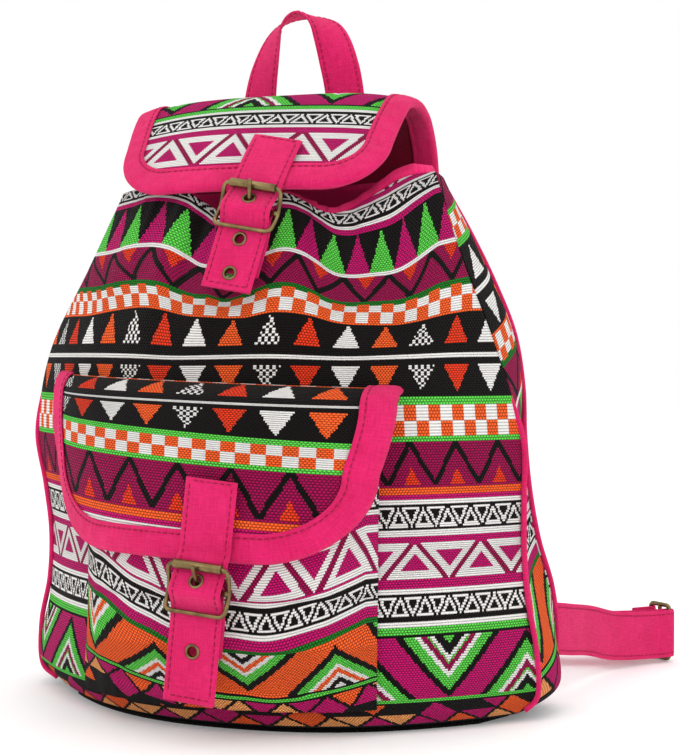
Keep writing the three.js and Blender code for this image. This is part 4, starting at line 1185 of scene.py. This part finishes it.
def rounded_loop(half_wide, low, high, radius, fine=1.5):
    """A rectangle with round corners as a closed line of (x, z) points, anticlockwise."""
    turn = np.linspace(0, np.pi / 2, 9)
    runs = []
    corners = ((half_wide, high), (-half_wide, high), (-half_wide, low), (half_wide, low))
    for i, (x, z) in enumerate(corners):
        centre = np.array([x - np.sign(x) * radius, z - radius if z == high else z + radius])
        arc = centre + radius * np.stack([np.cos(turn + i * np.pi / 2), np.sin(turn + i * np.pi / 2)], -1)
        runs.append(arc)
    line = np.concatenate([*runs, runs[0][:1]])
    reach = np.linalg.norm(np.diff(line, axis=0), axis=1).sum()
    return resampled((line,), np.linspace(0, reach, int(reach / fine), endpoint=False))[0]


def turned(name, profile, at, axis, place, nodes=(), body="bag", sides=40):
    """A ring turned about an axis, from a closed loop of (radius, distance along) points."""
    axis = unit(np.array(axis, float))
    first = unit(np.cross(axis, (0.31, 0.17, 0.93)))
    second = np.cross(axis, first)
    angle = np.linspace(0, 2 * np.pi, sides, endpoint=False)
    radius, reach = np.array(profile, float).T
    spoke = np.cos(angle)[:, None] * first + np.sin(angle)[:, None] * second
    grid = np.array(at, float) + radius[:, None, None] * spoke + reach[:, None, None] * axis
    cloth = np.stack(np.meshgrid(np.arange(sides + 1) * 0.5, np.arange(len(profile) + 1) * 0.5), axis=-1)
    return piece(name, placed(grid, place), cloth, brass, nodes, body, around=True, loop=True)


def tool(ring, low, high, axis, place):
    """A solid to cut with: a ring of points in a buckle's frame, carried along an axis."""
    axis = np.array(axis, float)
    ends = [placed(np.array(ring, float) + axis * end, place) for end in (low, high)]
    n = len(ring)
    sides = [(i, (i + 1) % n, n + (i + 1) % n, n + i) for i in range(n)]
    mesh = bpy.data.meshes.new("tool")
    mesh.from_pydata(np.concatenate(ends) * MM, [], [tuple(range(n))[::-1], tuple(range(n, 2 * n)), *sides])
    return bpy.data.objects.new("tool", mesh)


def strip(width, thick, dent=0.16):
    """A folded strap's section: round edges, and faces dented along its two rows of stitches."""
    half = width / 2
    a = half * np.sin(np.linspace(-np.pi / 2, np.pi / 2, 45))
    groove = dent * np.exp(-(((np.abs(a) - half + SEWN_IN) / 0.7) ** 2))
    b = thick / 2 * np.sqrt(1 - np.abs(a / half) ** 14) - groove
    face = np.stack([a, b], axis=-1)
    return np.concatenate([face, (face * (1, -1))[-2:0:-1]])


def edge_rows(line, width, thick, first=0.0, last=1e9, face=1, place=None):
    """Two rows of stitches along a strap, on one face of it."""
    at, across, out, even = line
    kept = (even >= first) & (even <= last)
    at, across, out = at[kept], across[kept], out[kept] * face
    rows = [(at + across * s * (width / 2 - SEWN_IN) + out * (thick / 2 - 0.1), out) for s in (-1, 1)]
    if place is not None:
        rows = [(placed(row, place), away @ place[0].T) for row, away in rows]
    return rows


def cross_row(line, width, thick, distance, place):
    """A row of stitches straight across a strap at a distance along it."""
    at, across, out, even = line
    i = int(np.argmin(np.abs(even - distance)))
    share = np.linspace(-1, 1, 20)[:, None] * (width / 2 - SEWN_IN)
    row = at[i] + across[i] * share + out[i] * (thick / 2 + 0.02)
    return placed(row, place), np.tile(out[i], (20, 1)) @ place[0].T


def buckle(name, owner, place, above, eyelets, tail):
    """A roller buckle on its chape, with the strap that passes through it and its eyelets. Places
    are in the buckle's own frame: above lists the strap's points on the flap, eyelets the heights
    of its holes, and tail is how far it hangs below the bar."""
    moving = name.split("_")[0]
    straight = keeping(X_AXIS)

    def slope(z):
        """Between the roller and the bar the strap leans evenly."""
        return STRAP_Y - STRAP_SLOPE * z

    reach = EYELET_FLANGE * math.cos(math.atan(STRAP_SLOPE))
    wave = [
        (ROLLER_BAR + 2.5, -3.3), (ROLLER_BAR, -3.1), (CROSSING + reach, slope(CROSSING + reach)),
        (CROSSING, slope(CROSSING)), (CROSSING - reach, slope(CROSSING - reach)), (-1.8, 3.1),
        (-4, 1.7), (-7, -0.7), (-KEEPER_BAR, TAIL_Y + 0.1), (-KEEPER_BAR - 4, TAIL_Y),
    ]
    hanging = [(0, TAIL_Y, mix(-KEEPER_BAR - 4, -tail, share)) for share in (0.35, 0.7, 1)]
    path = [*above, *((0, y, z) for z, y in wave), *hanging]
    line = stations(path, 1.4, straight)
    angle = np.linspace(0, 2 * np.pi, 28, endpoint=False)
    holes, leans = [], []
    for z in eyelets:
        bound = z > -KEEPER_BAR
        lean = math.atan(STRAP_SLOPE) if bound else 0.0
        at = np.array([0, slope(z) if bound else TAIL_Y, z])
        axis = np.array([0, math.cos(lean), math.sin(lean)])
        second = np.cross(axis, X_AXIS)
        bore = EYELET_BORE + EYELET_METAL + 0.25
        ring = at + bore * (np.cos(angle)[:, None] * X_AXIS + np.sin(angle)[:, None] * second)
        holes.append(tool(ring, -4, 4, axis, place))
        leans.append((at, axis))
    section = strip(CLOSING_WIDTH, CANVAS)
    swept(f"{owner}_strap", section, line, canvas, [f"{owner}_strap"], cut=holes, place=place)
    lowest = line[3][-1] - SEWN_IN
    rows = edge_rows(line, CLOSING_WIDTH, CANVAS, 1.5, lowest, place=place)
    rows += [cross_row(line, CLOSING_WIDTH, CANVAS, distance, place) for distance in (2, lowest)]
    sewn(f"{owner}_strap_stitches", rows)
    rim = CANVAS / 2 + 0.1 + EYELET_METAL
    half = [
        (EYELET_BORE, rim - 0.3), (EYELET_BORE + 0.25, rim), (EYELET_BORE + 0.75, rim + 0.12),
        (EYELET_FLANGE - 0.35, rim - 0.05), (EYELET_FLANGE, rim - 0.3), (EYELET_FLANGE - 0.1, rim - 0.5),
        (EYELET_BORE + EYELET_METAL, rim - 0.5),
    ]
    profile = half + [(r, -h) for r, h in half[::-1]]
    for i, (at, axis) in enumerate(leans):
        turned(f"{owner}_eyelet_{i + 1}", profile, at, axis, place, [f"{owner}_eyelet_{i + 1}"])

    turn = WIRE + GAP + CHAPE / 2
    back_y = -STANDOFF + GAP + CHAPE / 2
    front_y = back_y + CHAPE + GAP
    path = [
        (-CHAPE_LENGTH, back_y), (-CHAPE_LENGTH * 0.55, back_y), (-9, mix(back_y, -BAR_Y - turn, 0.35)),
        (-4, -BAR_Y - turn + 0.1), (0, -BAR_Y - turn), (turn * 0.71, -BAR_Y - turn * 0.71),
        (turn, -BAR_Y), (turn * 0.71, -BAR_Y + turn * 0.71), (0, -BAR_Y + turn),
        (-3.4, -BAR_Y + turn - 1.6), (-7.5, mix(front_y, -BAR_Y + turn, 0.25)), (-12, front_y + 0.4),
        (-CHAPE_LENGTH * 0.55, front_y), (-CHAPE_LENGTH, front_y),
    ]
    fold = stations([(0, y, z) for z, y in path], 0.9, straight)
    slot = [(x, -BAR_Y - 4.3, z) for x, z in ((1.9, 4.5), (-1.9, 4.5), (-1.9, -4.1), (1.9, -4.1))]
    slit = [tool(slot, 0, 8.6, (0, 1, 0), place)]  # the prong's eye stands in it
    swept(f"{name}_chape", strip(CHAPE_WIDTH, CHAPE), fold, canvas, [f"{name}_chape"], cut=slit, place=place)

    loop = rounded_loop(BUCKLE_HALF, -KEEPER_BAR, ROLLER_BAR, 3)
    loop = points(loop[:, 0], bar_depth(loop[:, 1]), loop[:, 1])
    wire = round_stations(loop, (0, 1, 0))
    swept(f"{name}_frame", disc(RIM_WIRE), wire, brass, [f"{name}_frame"], loop=True, place=place)
    bar = points(np.linspace(-BUCKLE_HALF, BUCKLE_HALF, 30), -BAR_Y, 0)
    swept(f"{name}_bar", disc(WIRE), stations(bar, 1.5, keeping((0, 1, 0))), brass, place=place)
    inner, outer, end = WIRE + RUNNING, ROLLER_RADIUS - ROLLER_THIN, ROLLER_LENGTH / 2
    half = [(inner, end), (outer - 0.3, end), (outer - 0.1, end - 0.15), (outer, end - 0.5)]
    profile = half + [(r, -h) for r, h in half[::-1]]
    at = (0, ROLLER_Y, ROLLER_BAR)
    turned(f"{name}_roller", profile, at, X_AXIS, place, [f"{name}_roller"], f"{moving}_roller")
    angle = np.linspace(0, 2 * np.pi, 36, endpoint=False)
    eye = points(0 * angle, -BAR_Y + EYE_RADIUS * np.cos(angle), EYE_RADIUS * np.sin(angle))
    swept(
        f"{name}_prong", disc(EYE_WIRE), round_stations(eye, X_AXIS), brass, [f"{name}_prong"],
        f"{moving}_prong", loop=True, place=place,
    )
    reach = np.array([2.3, 4, 8, 12, 14.4, 15.6, 16.5, PRONG_LENGTH - 0.02])
    shank = points(0 * reach, -BAR_Y + reach * math.sin(PRONG_LEAN), reach * math.cos(PRONG_LEAN))
    line = stations(shank, 0.5, straight)
    radii = [0.9, PRONG_RADIUS, PRONG_RADIUS, 1.0, 0.7, 0.25]
    thin = np.interp(line[3], [0, 1.5, 12.2, 13.6, 14.3, 14.7], radii)
    section = disc(1.0)[None] * thin[:, None, None]
    swept(f"{name}_shank", section, line, brass, body=f"{moving}_prong", place=place)


def over_flap(under, middle, place, rows):
    """Points of a strap that lies on a flap, at distances up from the flap's lower edge, read in
    the buckle's frame."""
    guess = placed(np.array([0.0, 0, 30]), place)
    t = under.length - np.array(rows, float)
    found = under.at(guess[0] - middle + 0 * t, t, 0 * t + FLAP_FACE + GAP + CANVAS / 2 + 0.6)
    local = (found - place[1]) @ place[0]
    return [(0, y, z) for _, y, z in local]


top_place = frame_at((14, -69.5, BODY_HEIGHT - 18.5), (0.17, 0.3, 0.94))
above = over_flap(flap, FLAP_MIDDLE, top_place, (31, 24, 17, 10, 3))
buckle("top_buckle", "closing", top_place, above, (CROSSING, -17, -36), 45)

# The pocket's strap and buckle are the same, sewn to the pocket's flap and to the pocket, with
# one eyelet fewer.
BAR_X = 8.5
POCKET_STANDS = 14.03  # the buckle ahead of the pocket's cloth
bar_z = COVER_SEAM - ROOF_FALL - COVER_DROP - 14
bar_y = front_reach(BAR_X, bar_z) + pocket_lift(BAR_X, bar_z) + POCKET_CLOTH + POCKET_STANDS
pocket_place = frame_at((BAR_X, -float(bar_y), bar_z), (0.1, 0, 1))
above = over_flap(cover, COVER_MIDDLE, pocket_place, (41, 31, 21, 12, 4))
buckle("pocket_buckle", "pocket", pocket_place, above, (CROSSING, -31), 57)

# A doubled canvas patch, sewn across the back below the mouth, carries the handle and both
# shoulder straps.
WEB = 1.6
WEB_WIDTH = 30
PATCH_HALF = 76
PATCH_LOW = BODY_HEIGHT - 34
PATCH_HIGH = BODY_HEIGHT + 8


def behind(x, z):
    """The back panel's distance behind the bag's middle: its seams' depth and a parabola."""
    k = share_at(z)
    return back_depth(k) + back_bow(k) * (1 - (x / back_half(k)) ** 2)


patch_y = float(behind(0, BODY_HEIGHT)) + 8.9
x, z = np.meshgrid(np.linspace(PATCH_HALF, -PATCH_HALF, 60), np.linspace(PATCH_LOW, PATCH_HIGH, 24))
edge = np.minimum(PATCH_HALF - np.abs(x), np.minimum(z - PATCH_LOW, PATCH_HIGH - z))
thick = WEB / 2 * np.clip(edge + 0.25, 0, 1)
middle = patch_y + WEB / 2
outer, inner = points(x, middle + thick, z), points(x, middle - thick, z)
sheet("strap_patch", outer, inner, np.stack([x, z], axis=-1), canvas, ["strap_patch"])
corners = np.array([(-73, -31), (73, -31), (73, 5), (-73, 5), (-73, -31)], float)
seam = points(corners[:, 0], patch_y + WEB + 0.02, BODY_HEIGHT + corners[:, 1])
sewn("strap_patch_stitches", [(seam, np.tile((0.0, 1.0, 0.0), (5, 1)))])

# The grab handle is doubled canvas, sewn to the patch by both ends. It twists half a turn on its
# way over, to meet the hand flat.
HANDLE_HALF = 27.5
HANDLE_WIDTH = 22.5
sewn_y = patch_y + WEB + GAP + WEB / 2
rise = [
    (-1, -22), (-1, 6), (-1.03, 34), (-0.86, 72), (-0.5, 97), (0, 104), (0.5, 97), (0.86, 72), (1.03, 34),
    (1, 6), (1, -22),
]
path = [(x * HANDLE_HALF, sewn_y - 3 * float(ease(z / 60)), BODY_HEIGHT + z) for x, z in rise]


def twist(share):
    """The handle's width turns through half a circle, easing in and out."""
    turn = -np.pi * ease((share - 0.14) / 0.72)
    return points(np.cos(turn), np.sin(turn), 0 * share)


line = stations(path, 1.8, twist)
swept("grab_handle", strip(HANDLE_WIDTH, WEB), line, canvas, ["grab_handle"])
rows = edge_rows(line, HANDLE_WIDTH, WEB) + edge_rows(line, HANDLE_WIDTH, WEB, face=-1)
sewn("grab_handle_stitches", rows)

# Each shoulder strap is doubled canvas, sewn to the patch, and hangs behind the bag. It meets its
# lower strap in a wire slider that stands on the floor, and the lower strap is sewn to the back
# seam's foot.
SLIDER_WIRE = 1.4
SLIDER_PITCH = 9
SLIDER_HALF = 16.9
SLIDER_AT = np.array([184, 206, SLIDER_HALF + SLIDER_WIRE + 0.2])
AHEAD = unit(np.array([0.66, 0.751, 0]))
NEAR = np.array([AHEAD[1], -AHEAD[0], 0])
LOOP_TURN = SLIDER_WIRE + GAP + WEB / 2


def turn_round(bar, start):
    """Points of a strap that turns half round a bar of the slider."""
    a = np.pi * np.linspace(0, 1, 5)[:, None]
    return bar + (NEAR * start * np.cos(a) + AHEAD * np.sin(a)) * LOOP_TURN


def at_height(point, z):
    """The same place seen from above, at another height."""
    return (point[0], point[1], z)


near_turn = turn_round(SLIDER_AT + NEAR * SLIDER_PITCH, 1)
far_turn = turn_round(SLIDER_AT - NEAR * SLIDER_PITCH, -1)
lower_path = [
    (110, float(behind(110, 39)) + 1.3, 39), (126, float(behind(126, 39)) + 2, 39), (143, 71, 38),
    (150, 96, 34), (155, 126, 29), (164, 155, 22), near_turn[0] - 16 * AHEAD, *near_turn,
    near_turn[4] - 9 * AHEAD, at_height(near_turn[4] - 30 * AHEAD, 19.4),
    at_height(near_turn[4] - 50 * AHEAD, 20.5),
]
upper_path = [
    (58, sewn_y, BODY_HEIGHT - 18), (58, sewn_y + 0.3, BODY_HEIGHT - 40), (58, 58, 215),
    (56, 80, 165), (52, 112, 110), (50, 148, 56), (74, 172, 26), (108, 176, 18.8), (138, 181, 18.6),
    far_turn[0] - 16 * AHEAD, *far_turn, far_turn[4] - 8 * AHEAD, far_turn[4] - 17 * AHEAD,
]


def laid(share):
    """The shoulder strap's width turns a quarter circle halfway down, to stand on its edge."""
    turn = np.pi / 2 * ease((share - 0.5) / 0.24)
    return points(np.cos(turn), 0 * share, np.sin(turn))


for name, sign in (("right", 1), ("left", -1)):
    mirror = np.array([sign, 1, 1])
    for kind, path, wide in (("lower", lower_path, keeping((0, 0, 1))), ("shoulder", upper_path, laid)):
        at, across, out, even = stations(path, 1.8, wide)
        line = (at * mirror, across * mirror, out * mirror, even)
        swept(f"{kind}_strap_{name}", strip(WEB_WIDTH, WEB), line, canvas, [f"{kind}_strap_{name}"])
        rows = edge_rows(line, WEB_WIDTH, WEB) + edge_rows(line, WEB_WIDTH, WEB, face=-1)
        sewn(f"{kind}_strap_{name}_stitches", rows)
    loop = rounded_loop(SLIDER_PITCH, -SLIDER_HALF, SLIDER_HALF, 2.6)
    rim = SLIDER_AT + NEAR * loop[:, :1] + loop[:, 1:] * (0, 0, 1)
    wire = round_stations(rim * mirror, AHEAD * mirror)
    swept(f"slider_{name}", disc(SLIDER_WIRE), wire, brass, [f"slider_{name}"], loop=True)
    bar = SLIDER_AT + np.linspace(-SLIDER_HALF, SLIDER_HALF, 30)[:, None] * (0, 0, 1)
    swept(f"slider_bar_{name}", disc(SLIDER_WIRE), stations(bar * mirror, 1.5, keeping(X_AXIS)), brass)
